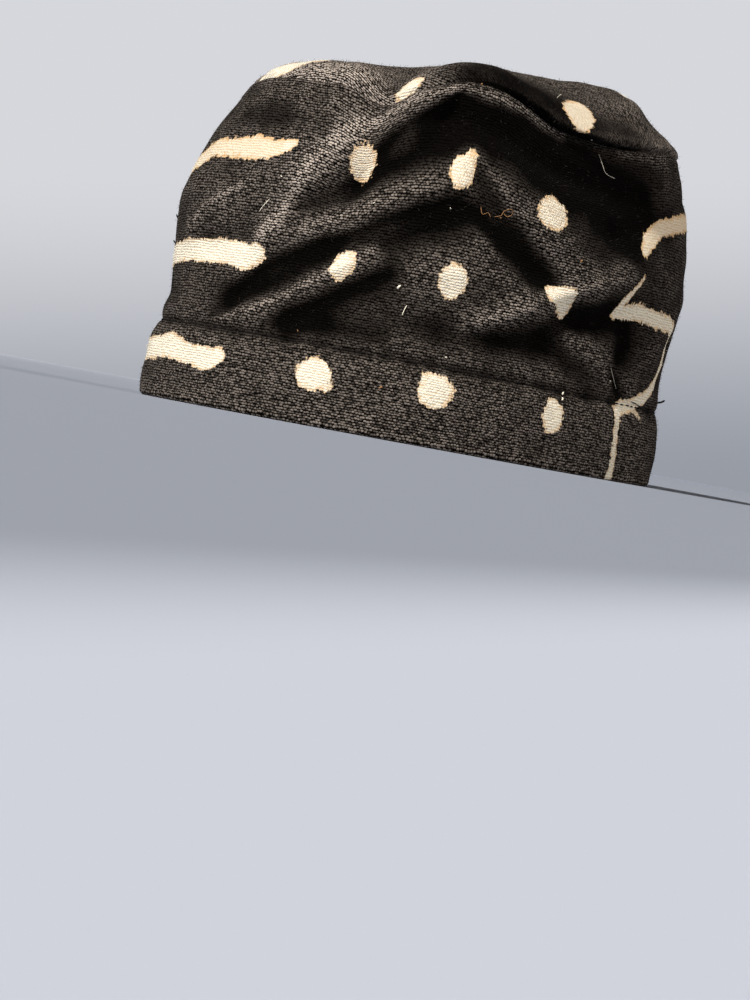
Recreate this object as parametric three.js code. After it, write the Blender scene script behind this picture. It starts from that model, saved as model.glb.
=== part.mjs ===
// A kufi: a soft brimless cap of hand-woven cotton, in millimetres.
// It has two pieces. The side wall is one strip with its lower edge turned in as a hem.
// The top panel is an oval that puffs up above the seam that joins it to the wall.
// The origin is the middle of the rim, on the surface that the cap rests on.
// +Z is up, the front faces -Y and the wearer's left is +X.

import * as THREE from 'three';

// Driving sizes
const HEAD_GIRTH = 546; // round the inside of the rim, which is the cap's size
const HEAD_LENGTH_PER_WIDTH = 1.26; // how oval the rim is
const CLOTH = 1.6; // thickness of one layer of cotton
const HEM_HEIGHT = 25; // depth of the turned-in lower edge
const HEM_EDGE_ROUND = 0.7; // rounding of the folded lower edge
const CREASE_DEPTH = 1.2; // how far the line of hem stitches is drawn in
const CREASE_WIDTH = 3; // half the width of that crease
const WALL_HEIGHT = 104; // from the rim to the top seam, without the seam's waves
const SEAM_WAVE = 8; // how far the seam rises at its highest wave
const SEAM_GAP = 0.3; // clearance between the wall's upper edge and the top panel
const CROWN_RISE = 22; // from the seam to the middle of the top panel
const LEAN_BACK = 3.0; // how far the wall's upper edge sits behind the rim
const LEAN_LEFT = 2.8; // and towards the wearer's left
const FOLD_DEPTH = 5; // a deep fold of the side wall
const FOLD_WIDTH = 10; // half the width of a common fold
const PUFF_RISE = 6; // how far the top panel swells or sinks at its largest puff

// Outline of the wall from the side: heights are shares of WALL_HEIGHT,
// and reaches are shares of the rim's own reach from the middle.
const WALL_OUTLINE = [
  { height: 0.0, reach: 0.998 },
  { height: 0.1, reach: 1.0 },
  { height: 0.19, reach: 0.992 },
  { height: 0.3, reach: 0.974 },
  { height: 0.42, reach: 0.969 },
  { height: 0.55, reach: 0.97 },
  { height: 0.66, reach: 0.967 },
  { height: 0.77, reach: 0.955 },
  { height: 0.86, reach: 0.934 },
  { height: 0.94, reach: 0.908 },
  { height: 1.0, reach: 0.873 },
];

// Outline of the top panel from its seam inwards: reaches are shares of the seam's oval,
// and rises are shares of CROWN_RISE.
const CROWN_OUTLINE = [
  { inward: 0.0, reach: 1.0, rise: 0.0 },
  { inward: 0.08, reach: 0.985, rise: 0.13 },
  { inward: 0.17, reach: 0.95, rise: 0.29 },
  { inward: 0.27, reach: 0.89, rise: 0.46 },
  { inward: 0.37, reach: 0.81, rise: 0.62 },
  { inward: 0.48, reach: 0.7, rise: 0.77 },
  { inward: 0.6, reach: 0.56, rise: 0.89 },
  { inward: 0.72, reach: 0.41, rise: 0.96 },
  { inward: 0.86, reach: 0.21, rise: 0.995 },
  { inward: 1.0, reach: 0.0, rise: 1.0 },
];

// The top seam round the cap: angles go from the front towards the wearer's left,
// rises are shares of SEAM_WAVE, and outs are shares of FOLD_DEPTH.
const SEAM = [
  { angle: -50, rise: 0.05, out: -0.2 },
  { angle: -12, rise: 0.2, out: 0.1 },
  { angle: 2, rise: 0.14, out: 0.2 },
  { angle: 9, rise: 0.1, out: 0.1 },
  { angle: 19, rise: -0.35, out: -0.55 },
  { angle: 27, rise: 0.4, out: 0 },
  { angle: 35, rise: 0.88, out: 0.45 },
  { angle: 41, rise: 1, out: 0.5 },
  { angle: 47, rise: 0.92, out: 0.4 },
  { angle: 54, rise: 0.58, out: 0.3 },
  { angle: 61, rise: 0.15, out: 0.25 },
  { angle: 70, rise: -0.05, out: 0.3 },
  { angle: 84, rise: 0, out: 0.3 },
  { angle: 95, rise: 0.25, out: 0.25 },
  { angle: 106, rise: 0.55, out: 0.1 },
  { angle: 130, rise: 0.5, out: 0.1 },
  { angle: 160, rise: 0.2, out: -0.2 },
  { angle: 185, rise: 0.35, out: 0.2 },
  { angle: 212, rise: -0.05, out: -0.2 },
  { angle: 240, rise: 0.3, out: 0.2 },
  { angle: 268, rise: -0.05, out: -0.1 },
  { angle: 290, rise: 0.2, out: 0.1 },
];

// Folds of the wall, each a straight ridge or furrow from one place to another:
// angles as in the seam's table, heights as shares of WALL_HEIGHT,
// depths (outwards, or inwards below zero) as shares of FOLD_DEPTH, widths as shares of FOLD_WIDTH.
const FOLDS = [
  // Ridges and furrows that climb from the hem towards the seam's highest wave
  { fromAngle: 0, fromHeight: 0.25, toAngle: 24, toHeight: 0.42, depth: 0.35, width: 0.75 },
  { fromAngle: -6, fromHeight: 0.31, toAngle: 20, toHeight: 0.51, depth: -0.55, width: 0.8 },
  { fromAngle: -2, fromHeight: 0.4, toAngle: 22, toHeight: 0.59, depth: 0.45, width: 0.8 },
  { fromAngle: 22, fromHeight: 0.59, toAngle: 42, toHeight: 0.74, depth: 0.6, width: 0.85 },
  { fromAngle: 8, fromHeight: 0.64, toAngle: 36, toHeight: 0.83, depth: -0.75, width: 0.85 },
  { fromAngle: 4, fromHeight: 0.66, toAngle: 16, toHeight: 0.84, depth: 0.3, width: 0.9 },
  { fromAngle: 14, fromHeight: 0.86, toAngle: 34, toHeight: 0.97, depth: 0.45, width: 0.85 },
  { fromAngle: -22, fromHeight: 0.56, toAngle: 4, toHeight: 0.74, depth: 0.3, width: 0.85 },
  { fromAngle: -18, fromHeight: 0.47, toAngle: -4, toHeight: 0.53, depth: -0.35, width: 0.8 },
  { fromAngle: -16, fromHeight: 0.86, toAngle: 8, toHeight: 0.89, depth: -0.4, width: 0.8 },
  // The furrow below the middle ridge, and the hollow that lies on the hem
  { fromAngle: 26, fromHeight: 0.54, toAngle: 44, toHeight: 0.65, depth: -0.5, width: 0.75 },
  { fromAngle: 22, fromHeight: 0.47, toAngle: 46, toHeight: 0.52, depth: 0.4, width: 0.85 },
  { fromAngle: 12, fromHeight: 0.27, toAngle: 46, toHeight: 0.36, depth: -0.55, width: 0.85 },
  { fromAngle: 46, fromHeight: 0.33, toAngle: 68, toHeight: 0.4, depth: -0.5, width: 0.85 },
  // Ridges and furrows that fall from the seam's highest wave towards the wearer's left ear
  { fromAngle: 42, fromHeight: 0.72, toAngle: 60, toHeight: 0.48, depth: 0.5, width: 0.8 },
  { fromAngle: 46, fromHeight: 0.77, toAngle: 70, toHeight: 0.53, depth: -0.65, width: 0.8 },
  { fromAngle: 54, fromHeight: 0.82, toAngle: 76, toHeight: 0.58, depth: 0.5, width: 0.85 },
  { fromAngle: 50, fromHeight: 0.38, toAngle: 72, toHeight: 0.54, depth: 0.5, width: 0.85 },
  { fromAngle: 72, fromHeight: 0.54, toAngle: 92, toHeight: 0.66, depth: 0.3, width: 0.9 },
  { fromAngle: 74, fromHeight: 0.45, toAngle: 94, toHeight: 0.52, depth: -0.5, width: 0.8 },
  { fromAngle: 76, fromHeight: 0.42, toAngle: 98, toHeight: 0.3, depth: 0.25, width: 0.8 },
  { fromAngle: 68, fromHeight: 0.37, toAngle: 88, toHeight: 0.25, depth: -0.4, width: 0.8 },
  // The wide hollow under the seam
  { fromAngle: 36, fromHeight: 0.9, toAngle: 92, toHeight: 0.86, depth: -1.1, width: 1.15 },
  { fromAngle: 84, fromHeight: 0.74, toAngle: 106, toHeight: 0.8, depth: -0.5, width: 0.9 },
  // The drawn-in shoulders at the front right and the back left
  { fromAngle: -62, fromHeight: 0.93, toAngle: -30, toHeight: 0.95, depth: -0.45, width: 1.2 },
  { fromAngle: 112, fromHeight: 0.88, toAngle: 150, toHeight: 0.94, depth: -0.45, width: 1.3 },
  // The back and the wearer's right
  { fromAngle: 104, fromHeight: 0.42, toAngle: 128, toHeight: 0.62, depth: 0.3, width: 1 },
  { fromAngle: 110, fromHeight: 0.32, toAngle: 142, toHeight: 0.5, depth: -0.5, width: 0.9 },
  { fromAngle: 136, fromHeight: 0.82, toAngle: 166, toHeight: 0.62, depth: -0.6, width: 1 },
  { fromAngle: 150, fromHeight: 0.5, toAngle: 178, toHeight: 0.36, depth: -0.45, width: 0.9 },
  { fromAngle: 190, fromHeight: 0.34, toAngle: 222, toHeight: 0.58, depth: -0.6, width: 0.9 },
  { fromAngle: 198, fromHeight: 0.68, toAngle: 228, toHeight: 0.86, depth: -0.6, width: 1 },
  { fromAngle: 206, fromHeight: 0.46, toAngle: 234, toHeight: 0.72, depth: 0.35, width: 0.9 },
  { fromAngle: 236, fromHeight: 0.32, toAngle: 264, toHeight: 0.46, depth: -0.5, width: 0.85 },
  { fromAngle: 246, fromHeight: 0.9, toAngle: 284, toHeight: 0.84, depth: -0.6, width: 1 },
  { fromAngle: 262, fromHeight: 0.7, toAngle: 292, toHeight: 0.5, depth: -0.55, width: 0.9 },
  { fromAngle: 288, fromHeight: 0.34, toAngle: 322, toHeight: 0.32, depth: -0.45, width: 0.9 },
  { fromAngle: 302, fromHeight: 0.6, toAngle: 332, toHeight: 0.68, depth: 0.35, width: 1.3 },
];

// Puffs and dents of the top panel: places are shares of the rim's half length and half width
// (back and the wearer's left are positive), and so are spreads. Rises are shares of PUFF_RISE.
const PUFFS = [
  { back: 0.4, left: 0.68, spread: 0.46, rise: 1.9 },
  { back: -0.45, left: -0.55, spread: 0.5, rise: -1.1 },
  { back: -0.56, left: 0.22, spread: 0.2, rise: -1 },
  { back: -0.62, left: -0.08, spread: 0.2, rise: 0.3 },
  { back: -0.5, left: 0.48, spread: 0.22, rise: 0.3 },
  { back: -0.2, left: 0.6, spread: 0.22, rise: -0.5 },
  { back: 0.1, left: 0.05, spread: 0.3, rise: -0.3 },
  { back: 0.65, left: -0.2, spread: 0.3, rise: -0.4 },
  { back: 0.3, left: -0.6, spread: 0.25, rise: 0.3 },
];

// Where forms fade out, as shares: of the wall's height for the seam's waves,
// of the hem's height for the folds, and of the crown's reach for the waves and the puffs
const SEAM_WAVE_FROM = 0.45;
const FOLDS_FROM = 0.7;
const FOLDS_FULL = 1.5;
const CROWN_WAVE_FROM = 0.72;
const PUFFS_FULL = 0.8;

// Fineness of the mesh
const COLUMNS = 96; // round the cap
const EDGE_ROUND_ROWS = 2.5; // where the wall is straight again, in roundings of the lower edge
const HEM_ROWS = [0.4, 0.76, 0.94]; // shares of the hem's height
const BODY_ROWS = 14; // from the crease to the seam
const CROWN_ROWS = 8; // from the seam to the middle

// Sizes that follow
const ovalShape = ((HEAD_LENGTH_PER_WIDTH - 1) / (HEAD_LENGTH_PER_WIDTH + 1)) ** 2;
const ovalFactor = 1 + (3 * ovalShape) / (10 + Math.sqrt(4 - 3 * ovalShape));
const headHalfLength =
  HEAD_GIRTH / (Math.PI * (1 + 1 / HEAD_LENGTH_PER_WIDTH) * ovalFactor);
const headHalfWidth = headHalfLength / HEAD_LENGTH_PER_WIDTH;
const halfLength = headHalfLength + 2 * CLOTH;
const halfWidth = headHalfWidth + 2 * CLOTH;

const fullTurn = 360;
const arcPerDegree = (Math.PI * (halfLength + halfWidth)) / fullTurn;
const { clamp, degToRad, euclideanModulo, smoothstep } = THREE.MathUtils;

// A smooth curve through one column of a table, read at a place; a period closes it on itself.
function along(rows, place, column, at, period = 0) {
  const count = rows.length;
  const row = (i) => {
    const turns = period ? Math.floor(i / count) : 0;
    const r = rows[period ? i - turns * count : clamp(i, 0, count - 1)];
    return { x: r[place] + turns * period, y: r[column] };
  };
  const start = rows[0][place];
  const x = period ? start + euclideanModulo(at - start, period) : at;
  let i = 0;
  while (i < count - (period ? 1 : 2) && row(i + 1).x < x) i += 1;
  const [a, b, c, d] = [row(i - 1), row(i), row(i + 1), row(i + 2)];
  const slope = (p, q) => (q.x > p.x ? (q.y - p.y) / (q.x - p.x) : 0);
  const step = c.x - b.x;
  const t = clamp((x - b.x) / step, 0, 1);
  return (
    b.y * (1 + 2 * t) * (1 - t) ** 2 +
    c.y * t * t * (3 - 2 * t) +
    slope(a, c) * step * t * (1 - t) ** 2 -
    slope(b, d) * step * t * t * (1 - t)
  );
}

// The direction in plan of an angle, and the way out from the rim's oval there
const oval = (angle) => new THREE.Vector2(Math.sin(degToRad(angle)), -Math.cos(degToRad(angle)));
const outFrom = (angle) => {
  const at = oval(angle);
  return new THREE.Vector2(at.x / halfWidth, at.y / halfLength).normalize();
};

// How far a fold moves the cloth out or in at an angle and a height
function foldAt(fold, angle, height) {
  const halfTurn = fullTurn / 2;
  const turn = euclideanModulo(angle - fold.fromAngle + halfTurn, fullTurn) - halfTurn;
  const place = new THREE.Vector2(turn * arcPerDegree, height - fold.fromHeight * WALL_HEIGHT);
  const run = new THREE.Vector2(
    (fold.toAngle - fold.fromAngle) * arcPerDegree,
    (fold.toHeight - fold.fromHeight) * WALL_HEIGHT,
  );
  const share = clamp(place.dot(run) / run.lengthSq(), 0, 1);
  const away = place.distanceTo(run.multiplyScalar(share)) / (fold.width * FOLD_WIDTH);
  return fold.depth * FOLD_DEPTH * Math.exp(-away * away);
}

const seamHeight = (angle) =>
  WALL_HEIGHT + SEAM_WAVE * along(SEAM, 'angle', 'rise', angle, fullTurn);

// A point of the wall's outer face: up runs from 0 at the rim to 1 at the seam.
function wallPoint(angle, up) {
  const height = up * WALL_HEIGHT;
  const nearSeam = smoothstep(up, SEAM_WAVE_FROM, 1);
  const aboveHem = smoothstep(height, HEM_HEIGHT * FOLDS_FROM, HEM_HEIGHT * FOLDS_FULL);
  const fromCrease = (height - HEM_HEIGHT) / CREASE_WIDTH;
  const reach = along(WALL_OUTLINE, 'height', 'reach', up);
  let out = -CREASE_DEPTH * Math.exp(-fromCrease * fromCrease);
  for (const fold of FOLDS) out += aboveHem * foldAt(fold, angle, height);
  out += nearSeam * FOLD_DEPTH * along(SEAM, 'angle', 'out', angle, fullTurn);
  const plan = oval(angle).multiply(new THREE.Vector2(halfWidth, halfLength));
  plan.multiplyScalar(reach).addScaledVector(outFrom(angle), out);
  plan.addScaledVector(new THREE.Vector2(LEAN_LEFT, LEAN_BACK), up ** 3);
  return new THREE.Vector3(plan.x, plan.y, height + nearSeam * (seamHeight(angle) - WALL_HEIGHT));
}

// A point of the top panel's outer face: inward runs from 0 at the seam to 1 in the middle.
function crownPoint(angle, inward) {
  const seam = wallPoint(angle, 1);
  const reach = along(CROWN_OUTLINE, 'inward', 'reach', inward);
  const rise = along(CROWN_OUTLINE, 'inward', 'rise', inward) * CROWN_RISE;
  const wave = (seam.z - WALL_HEIGHT) * smoothstep(reach, CROWN_WAVE_FROM, 1);
  const [x, y] = [seam.x * reach, seam.y * reach];
  let puff = 0;
  for (const p of PUFFS) {
    const away = Math.hypot(x / halfWidth - p.left, y / halfLength - p.back) / p.spread;
    puff += p.rise * PUFF_RISE * Math.exp(-away * away);
  }
  const free = 1 - smoothstep(reach, PUFFS_FULL, 1);
  return new THREE.Vector3(x, y, WALL_HEIGHT + SEAM_GAP + wave + rise + puff * free);
}

// The way out of a face at a place, from its two slopes
function faceNormal(point, angle, place) {
  const step = 1e-3;
  const roundward = point(angle + step * fullTurn, place).sub(point(angle - step * fullTurn, place));
  const onward = point(angle, Math.min(place + step, 1)).sub(point(angle, Math.max(place - step, 0)));
  return roundward.cross(onward).normalize();
}

const angles = Array.from({ length: COLUMNS }, (_, i) => (i * fullTurn) / COLUMNS);

// Rings of points on a face, and on its inner side at a depth below it
const ring = (point, place) => angles.map((angle) => point(angle, place));
const innerRing = (point, place, depth) =>
  angles.map((angle) =>
    point(angle, place).addScaledVector(faceNormal(point, angle, place), -depth),
  );
const movedIn = (points, depth) =>
  points.map((p, i) => {
    const out = outFrom(angles[i]);
    return new THREE.Vector3(p.x - out.x * depth, p.y - out.y * depth, p.z);
  });
const atHeight = (points, height) => points.map((p) => new THREE.Vector3(p.x, p.y, height));

// A closed body through rings: with poles it is capped by them, without it closes on itself.
function bodyThrough(rings, poles = []) {
  const points = rings.flat().concat(poles);
  const corners = [];
  const at = (r, c) => (r % rings.length) * COLUMNS + (c % COLUMNS);
  const strips = poles.length ? rings.length - 1 : rings.length;
  for (let c = 0; c < COLUMNS; c += 1) {
    for (let r = 0; r < strips; r += 1) {
      corners.push(at(r, c), at(r, c + 1), at(r + 1, c + 1));
      corners.push(at(r, c), at(r + 1, c + 1), at(r + 1, c));
    }
    if (poles.length) {
      const [first, last] = [points.length - 2, points.length - 1];
      corners.push(first, at(0, c + 1), at(0, c));
      corners.push(last, at(rings.length - 1, c), at(rings.length - 1, c + 1));
    }
  }
  const geometry = new THREE.BufferGeometry().setFromPoints(points);
  geometry.setIndex(corners);
  geometry.computeVertexNormals();
  return geometry;
}

const hemUp = HEM_HEIGHT / WALL_HEIGHT;
const bodyUps = Array.from(
  { length: BODY_ROWS },
  (_, i) => hemUp + ((i + 1) / BODY_ROWS) * (1 - hemUp),
);

// The side wall: its outer face going up, then its inner face coming down.
// Below the crease the inner face lies a second layer of cloth further in.
function sideWall() {
  const rimUp = HEM_EDGE_ROUND / WALL_HEIGHT;
  const hemUps = [rimUp * EDGE_ROUND_ROWS, ...HEM_ROWS.map((share) => share * hemUp)];
  const edgeBulge = HEM_EDGE_ROUND * (1 - Math.SQRT1_2);
  const rim = atHeight(ring(wallPoint, 0), 0);
  const rimSide = ring(wallPoint, rimUp);
  const top = ring(wallPoint, 1);
  const hemTop = ring(wallPoint, hemUp);
  const outer = [
    movedIn(rim, HEM_EDGE_ROUND),
    movedIn(rimSide, edgeBulge),
    ...hemUps.map((up) => ring(wallPoint, up)),
    hemTop,
    ...bodyUps.slice(0, -1).map((up) => ring(wallPoint, up)),
    top,
  ];
  const inner = [
    movedIn(top, CLOTH),
    ...bodyUps
      .slice(0, -1)
      .reverse()
      .map((up) => innerRing(wallPoint, up, CLOTH)),
    movedIn(hemTop, CLOTH),
    movedIn(hemTop, 2 * CLOTH),
    ...hemUps.reverse().map((up) => movedIn(ring(wallPoint, up), 2 * CLOTH)),
    movedIn(rimSide, 2 * CLOTH - edgeBulge),
    movedIn(rim, 2 * CLOTH - HEM_EDGE_ROUND),
  ];
  return bodyThrough([...outer, ...inner]);
}

// The top panel: its outer face going in from the seam, then its inner face going back out.
function topPanel() {
  const inwards = Array.from({ length: CROWN_ROWS }, (_, i) => (i + 1) / (CROWN_ROWS + 1));
  const seam = ring(crownPoint, 0);
  const middle = crownPoint(0, 1);
  const rings = [
    ...inwards
      .slice()
      .reverse()
      .map((inward) => innerRing(crownPoint, inward, CLOTH)),
    movedIn(seam, CLOTH),
    seam,
    ...inwards.map((inward) => ring(crownPoint, inward)),
  ];
  const underside = middle.clone().setZ(middle.z - CLOTH);
  return bodyThrough(rings, [underside, middle]);
}

const dyedCotton = { color: 0x1d1916, roughness: 0.95, metalness: 0 };

function piece(name, geometry) {
  const mesh = new THREE.Mesh(geometry, new THREE.MeshStandardMaterial(dyedCotton));
  mesh.name = name;
  return mesh;
}

const kufi = new THREE.Group();
kufi.add(piece('side_wall', sideWall()));
kufi.add(piece('top_panel', topPanel()));

export default kufi;
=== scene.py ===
import math
import bpy
import numpy as np
from mathutils import Matrix, Vector, noise


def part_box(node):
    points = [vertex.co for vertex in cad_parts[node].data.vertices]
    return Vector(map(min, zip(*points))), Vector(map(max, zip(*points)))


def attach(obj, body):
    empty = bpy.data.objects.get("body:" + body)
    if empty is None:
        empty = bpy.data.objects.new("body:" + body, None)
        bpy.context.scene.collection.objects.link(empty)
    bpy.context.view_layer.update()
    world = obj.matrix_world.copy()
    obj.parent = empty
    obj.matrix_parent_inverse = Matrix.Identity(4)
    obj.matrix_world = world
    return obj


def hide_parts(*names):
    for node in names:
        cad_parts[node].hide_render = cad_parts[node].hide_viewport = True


# A kufi: a soft brimless cap of hand-woven cotton, dyed dark round marks that stay pale.
# Lengths are in millimetres, and a piece is turned into metres when it is made.
# The front faces -Y, the wearer's left is +X, and angles go from the front towards the left.

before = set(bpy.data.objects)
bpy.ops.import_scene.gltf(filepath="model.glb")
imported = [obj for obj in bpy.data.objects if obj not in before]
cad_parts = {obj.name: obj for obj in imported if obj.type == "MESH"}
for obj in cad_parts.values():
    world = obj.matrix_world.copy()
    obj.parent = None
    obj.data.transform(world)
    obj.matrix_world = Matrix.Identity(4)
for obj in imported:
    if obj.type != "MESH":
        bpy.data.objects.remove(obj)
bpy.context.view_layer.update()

MM = 0.001
FULL_TURN = 360.0

# The cap's own sizes, as in the part's source. The rim's half length and half width come
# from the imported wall.
HALF_LENGTH = (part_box("side_wall")[1][1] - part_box("side_wall")[0][1]) / 2 / MM
HALF_WIDTH = (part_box("side_wall")[1][0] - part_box("side_wall")[0][0]) / 2 / MM
CLOTH = 1.6
HEM_HEIGHT = 25.0
CREASE_DEPTH = 1.2
CREASE_WIDTH = 3.0
WALL_HEIGHT = 104.0
SEAM_WAVE = 8.0
SEAM_GAP = 0.3
CROWN_RISE = 22.0
LEAN_BACK = 3.0
LEAN_LEFT = 2.8
FOLD_DEPTH = 5.0
FOLD_WIDTH = 10.0
PUFF_RISE = 6.0
SEAM_WAVE_FROM = 0.45
FOLDS_FROM = 0.7
FOLDS_FULL = 1.5
CROWN_WAVE_FROM = 0.72
PUFFS_FULL = 0.8

# How the worn cloth lies on the source's plainer surface: a fold's sharper crest, the way the
# cloth turns at its edges, and its small unevenness
FOLD_SHARPER = 1.05  # how much higher the crest stands than the source's rounded one
FOLD_CREST = 0.22  # roundness of the crest, as a share of the fold's width
FOLD_FALL = 1.6  # how steeply a fold falls away
EDGE_ROLL = 1.65  # radius of the folded rim and of the wall's upper edge
ALLOWANCE = 8.0  # cloth left inside the top seam
ALLOWANCE_SPREAD = 3.3  # how much further in the panel's allowance ends than its seam
ALLOWANCE_ANGLE = math.radians(162)  # where the wall's edge has turned over and hangs down
ALLOWANCE_DROP = 0.6  # how far below the seam the panel's allowance begins
LIP_SPAN = 0.09  # share of the panel's way inwards over which it comes out again
RIPPLE = 0.62  # height of the cloth's small unevenness
RIPPLE_SPAN = 9.0
PUCKER = 0.8  # height of the gathers beside the stitched lines
PUCKER_SPAN = 5.0
GATHERS_REACH = 4.0  # how far the gathers reach from the hem's crease, and past the top seam
SEAM_GATHERS = 16.0  # how far down from the top seam they reach
PANEL_GATHERS_AT = 0.12  # where the panel's gathers are deepest, in shares of its rows
PANEL_GATHERS_SPAN = 0.07
PANEL_PUCKER = 0.7 * PUCKER
PANEL_ROUGH_FROM = (0.08, 0.14)  # shares of its rows between which its unevenness begins
PANEL_ROUGH_TO = (0.9, 1.0)  # and between which it ends, at the middle
CREASES_START = (22.0, 30.0)  # heights between which the finer creases rise above the hem
CREASES_END = (101.0, WALL_HEIGHT)  # heights between which they die out under the top seam
STITCH_SINK = 0.55  # how deep the line of hem stitches lies in its crease
STITCH_SINK_WIDTH = 0.9
HEM_SHORT = 1.2  # how far below the crease the turned-in edge ends
RELIEF_LIMIT = 1.5  # the most that a place's standing proud counts towards its wear and painted shade

# Fineness of the mesh
COLUMNS = 396
HEM_ROWS = 13
FOLD_ROWS = 7
CREASE_ROWS = 9
BODY_ROWS = 52
ROLL_ROWS = 7
ALLOWANCE_ROWS = 4
CROWN_ROWS = 48
CROWN_CROWDING = 1.15  # above 1, the panel's rows crowd towards its seam


def table(columns, *rows):
    """The rows of a table, each by the names of its columns."""
    return [dict(zip(columns.split(), row)) for row in rows]


# Outline of the wall from the side: heights are shares of WALL_HEIGHT,
# and reaches are shares of the rim's own reach from the middle.
WALL_OUTLINE = table(
    "height reach",
    (0.0, 0.998), (0.1, 1.0), (0.19, 0.992), (0.3, 0.974), (0.42, 0.969), (0.55, 0.97),
    (0.66, 0.967), (0.77, 0.955), (0.86, 0.934), (0.94, 0.908), (1.0, 0.873),
)

# Outline of the top panel from its seam inwards: reaches are shares of the seam's oval,
# and rises are shares of CROWN_RISE.
CROWN_OUTLINE = table(
    "inward reach rise",
    (0.0, 1.0, 0.0), (0.08, 0.985, 0.13), (0.17, 0.95, 0.29), (0.27, 0.89, 0.46),
    (0.37, 0.81, 0.62), (0.48, 0.7, 0.77), (0.6, 0.56, 0.89), (0.72, 0.41, 0.96),
    (0.86, 0.21, 0.995), (1.0, 0.0, 1.0),
)

# The top seam round the cap: rises are shares of SEAM_WAVE, and outs are shares of FOLD_DEPTH.
SEAM = table(
    "angle rise out",
    (-50, 0.05, -0.2), (-12, 0.2, 0.1), (2, 0.14, 0.2), (9, 0.1, 0.1), (19, -0.35, -0.55),
    (27, 0.4, 0), (35, 0.88, 0.45), (41, 1, 0.5), (47, 0.92, 0.4), (54, 0.58, 0.3),
    (61, 0.15, 0.25), (70, -0.05, 0.3), (84, 0, 0.3), (95, 0.25, 0.25), (106, 0.55, 0.1),
    (130, 0.5, 0.1), (160, 0.2, -0.2), (185, 0.35, 0.2), (212, -0.05, -0.2), (240, 0.3, 0.2),
    (268, -0.05, -0.1), (290, 0.2, 0.1),
)

# How the top seam is set, in millimetres: tuck draws the wall's upper edge in, hang puffs the
# panel's edge out over it (below zero it draws the panel in, a little higher up), and lip is how
# far the panel's seam lies behind the wall's face.
SEAM_SET = table(
    "angle tuck hang lip",
    (-50, 0.0, -5.2, 1.2), (0, 0.3, 0.2, 0.7), (19, 0.8, 0.6, 0.5), (33, 0.0, 0.4, 0.7),
    (44, 0.2, 0.6, 0.8), (54, 2.0, 2.6, 1.4), (66, 3.4, 4.0, 2.2), (84, 3.4, 3.0, 2.0),
    (98, 2.0, -1.6, 1.4), (112, 2.4, -6.4, 1.2), (130, 2.8, -7.6, 1.4), (150, 1.6, -4.0, 1.8),
    (180, 0.6, 1.2, 2.2), (240, 0.2, 0.4, 2.0), (288, 0.0, -2.6, 1.6),
)
TUCK_FROM = 0.84  # share of the wall's height where the tuck begins
HANG_AT = 0.13  # where the panel's edge hangs out furthest, as a share of its way inwards
HANG_SPAN = 0.1
HANG_BEGIN = 0.08  # share of the panel's way inwards over which the overhang begins
HANG_SAG = 0.4  # how far it sags, as a share of how far it hangs out
DRAW_AT = 0.3  # where the panel is drawn in furthest
DRAW_SPAN = 0.2

# Folds of the wall, each a straight ridge or furrow from one place to another: angle and height
# (a share of WALL_HEIGHT) of both ends, then depth (a share of FOLD_DEPTH, inwards below zero)
# and width (a share of FOLD_WIDTH).
FOLDS = [
    # Ridges and furrows that climb from the hem towards the seam's highest wave
    (0, 0.25, 24, 0.42, 0.35, 0.75),
    (-6, 0.31, 20, 0.51, -0.55, 0.8),
    (-2, 0.4, 22, 0.59, 0.45, 0.8),
    (22, 0.59, 42, 0.74, 0.6, 0.85),
    (8, 0.64, 36, 0.83, -0.75, 0.85),
    (4, 0.66, 16, 0.84, 0.3, 0.9),
    (14, 0.86, 34, 0.97, 0.45, 0.85),
    (-22, 0.56, 4, 0.74, 0.3, 0.85),
    (-18, 0.47, -4, 0.53, -0.35, 0.8),
    (-16, 0.86, 8, 0.89, -0.4, 0.8),
    # The furrow below the middle ridge, and the hollow that lies on the hem
    (26, 0.54, 44, 0.65, -0.5, 0.75),
    (22, 0.47, 46, 0.52, 0.4, 0.85),
    (12, 0.27, 46, 0.36, -0.3, 0.85),
    (46, 0.33, 68, 0.4, -0.25, 0.85),
    # Ridges and furrows that fall from the seam's highest wave towards the wearer's left
    (42, 0.72, 60, 0.48, 0.5, 0.8),
    (46, 0.77, 70, 0.53, -0.65, 0.8),
    (54, 0.82, 76, 0.58, 0.5, 0.85),
    (50, 0.38, 72, 0.54, 0.5, 0.85),
    (72, 0.54, 92, 0.66, 0.3, 0.9),
    (74, 0.45, 94, 0.52, -0.5, 0.8),
    (76, 0.42, 98, 0.3, 0.25, 0.8),
    (68, 0.37, 88, 0.25, -0.4, 0.8),
    # The wide hollow under the seam
    (36, 0.9, 92, 0.86, -1.1, 1.15),
    (84, 0.74, 106, 0.8, -0.5, 0.9),
    # The drawn-in shoulders at the front right and the back left
    (-62, 0.93, -30, 0.95, -0.45, 1.2),
    (112, 0.88, 150, 0.94, -0.45, 1.3),
    # The back and the wearer's right
    (104, 0.42, 128, 0.62, 0.3, 1),
    (118, 0.32, 142, 0.5, -0.1, 0.9),
    (136, 0.82, 166, 0.62, -0.6, 1),
    (150, 0.5, 178, 0.36, -0.45, 0.9),
    (190, 0.34, 222, 0.58, -0.6, 0.9),
    (198, 0.68, 228, 0.86, -0.6, 1),
    (206, 0.46, 234, 0.72, 0.35, 0.9),
    (236, 0.32, 264, 0.46, -0.5, 0.85),
    (246, 0.9, 284, 0.84, -0.6, 1),
    (262, 0.7, 292, 0.5, -0.55, 0.9),
    (288, 0.34, 322, 0.32, -0.45, 0.9),
    (302, 0.6, 332, 0.68, 0.35, 1.3),
]
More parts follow.
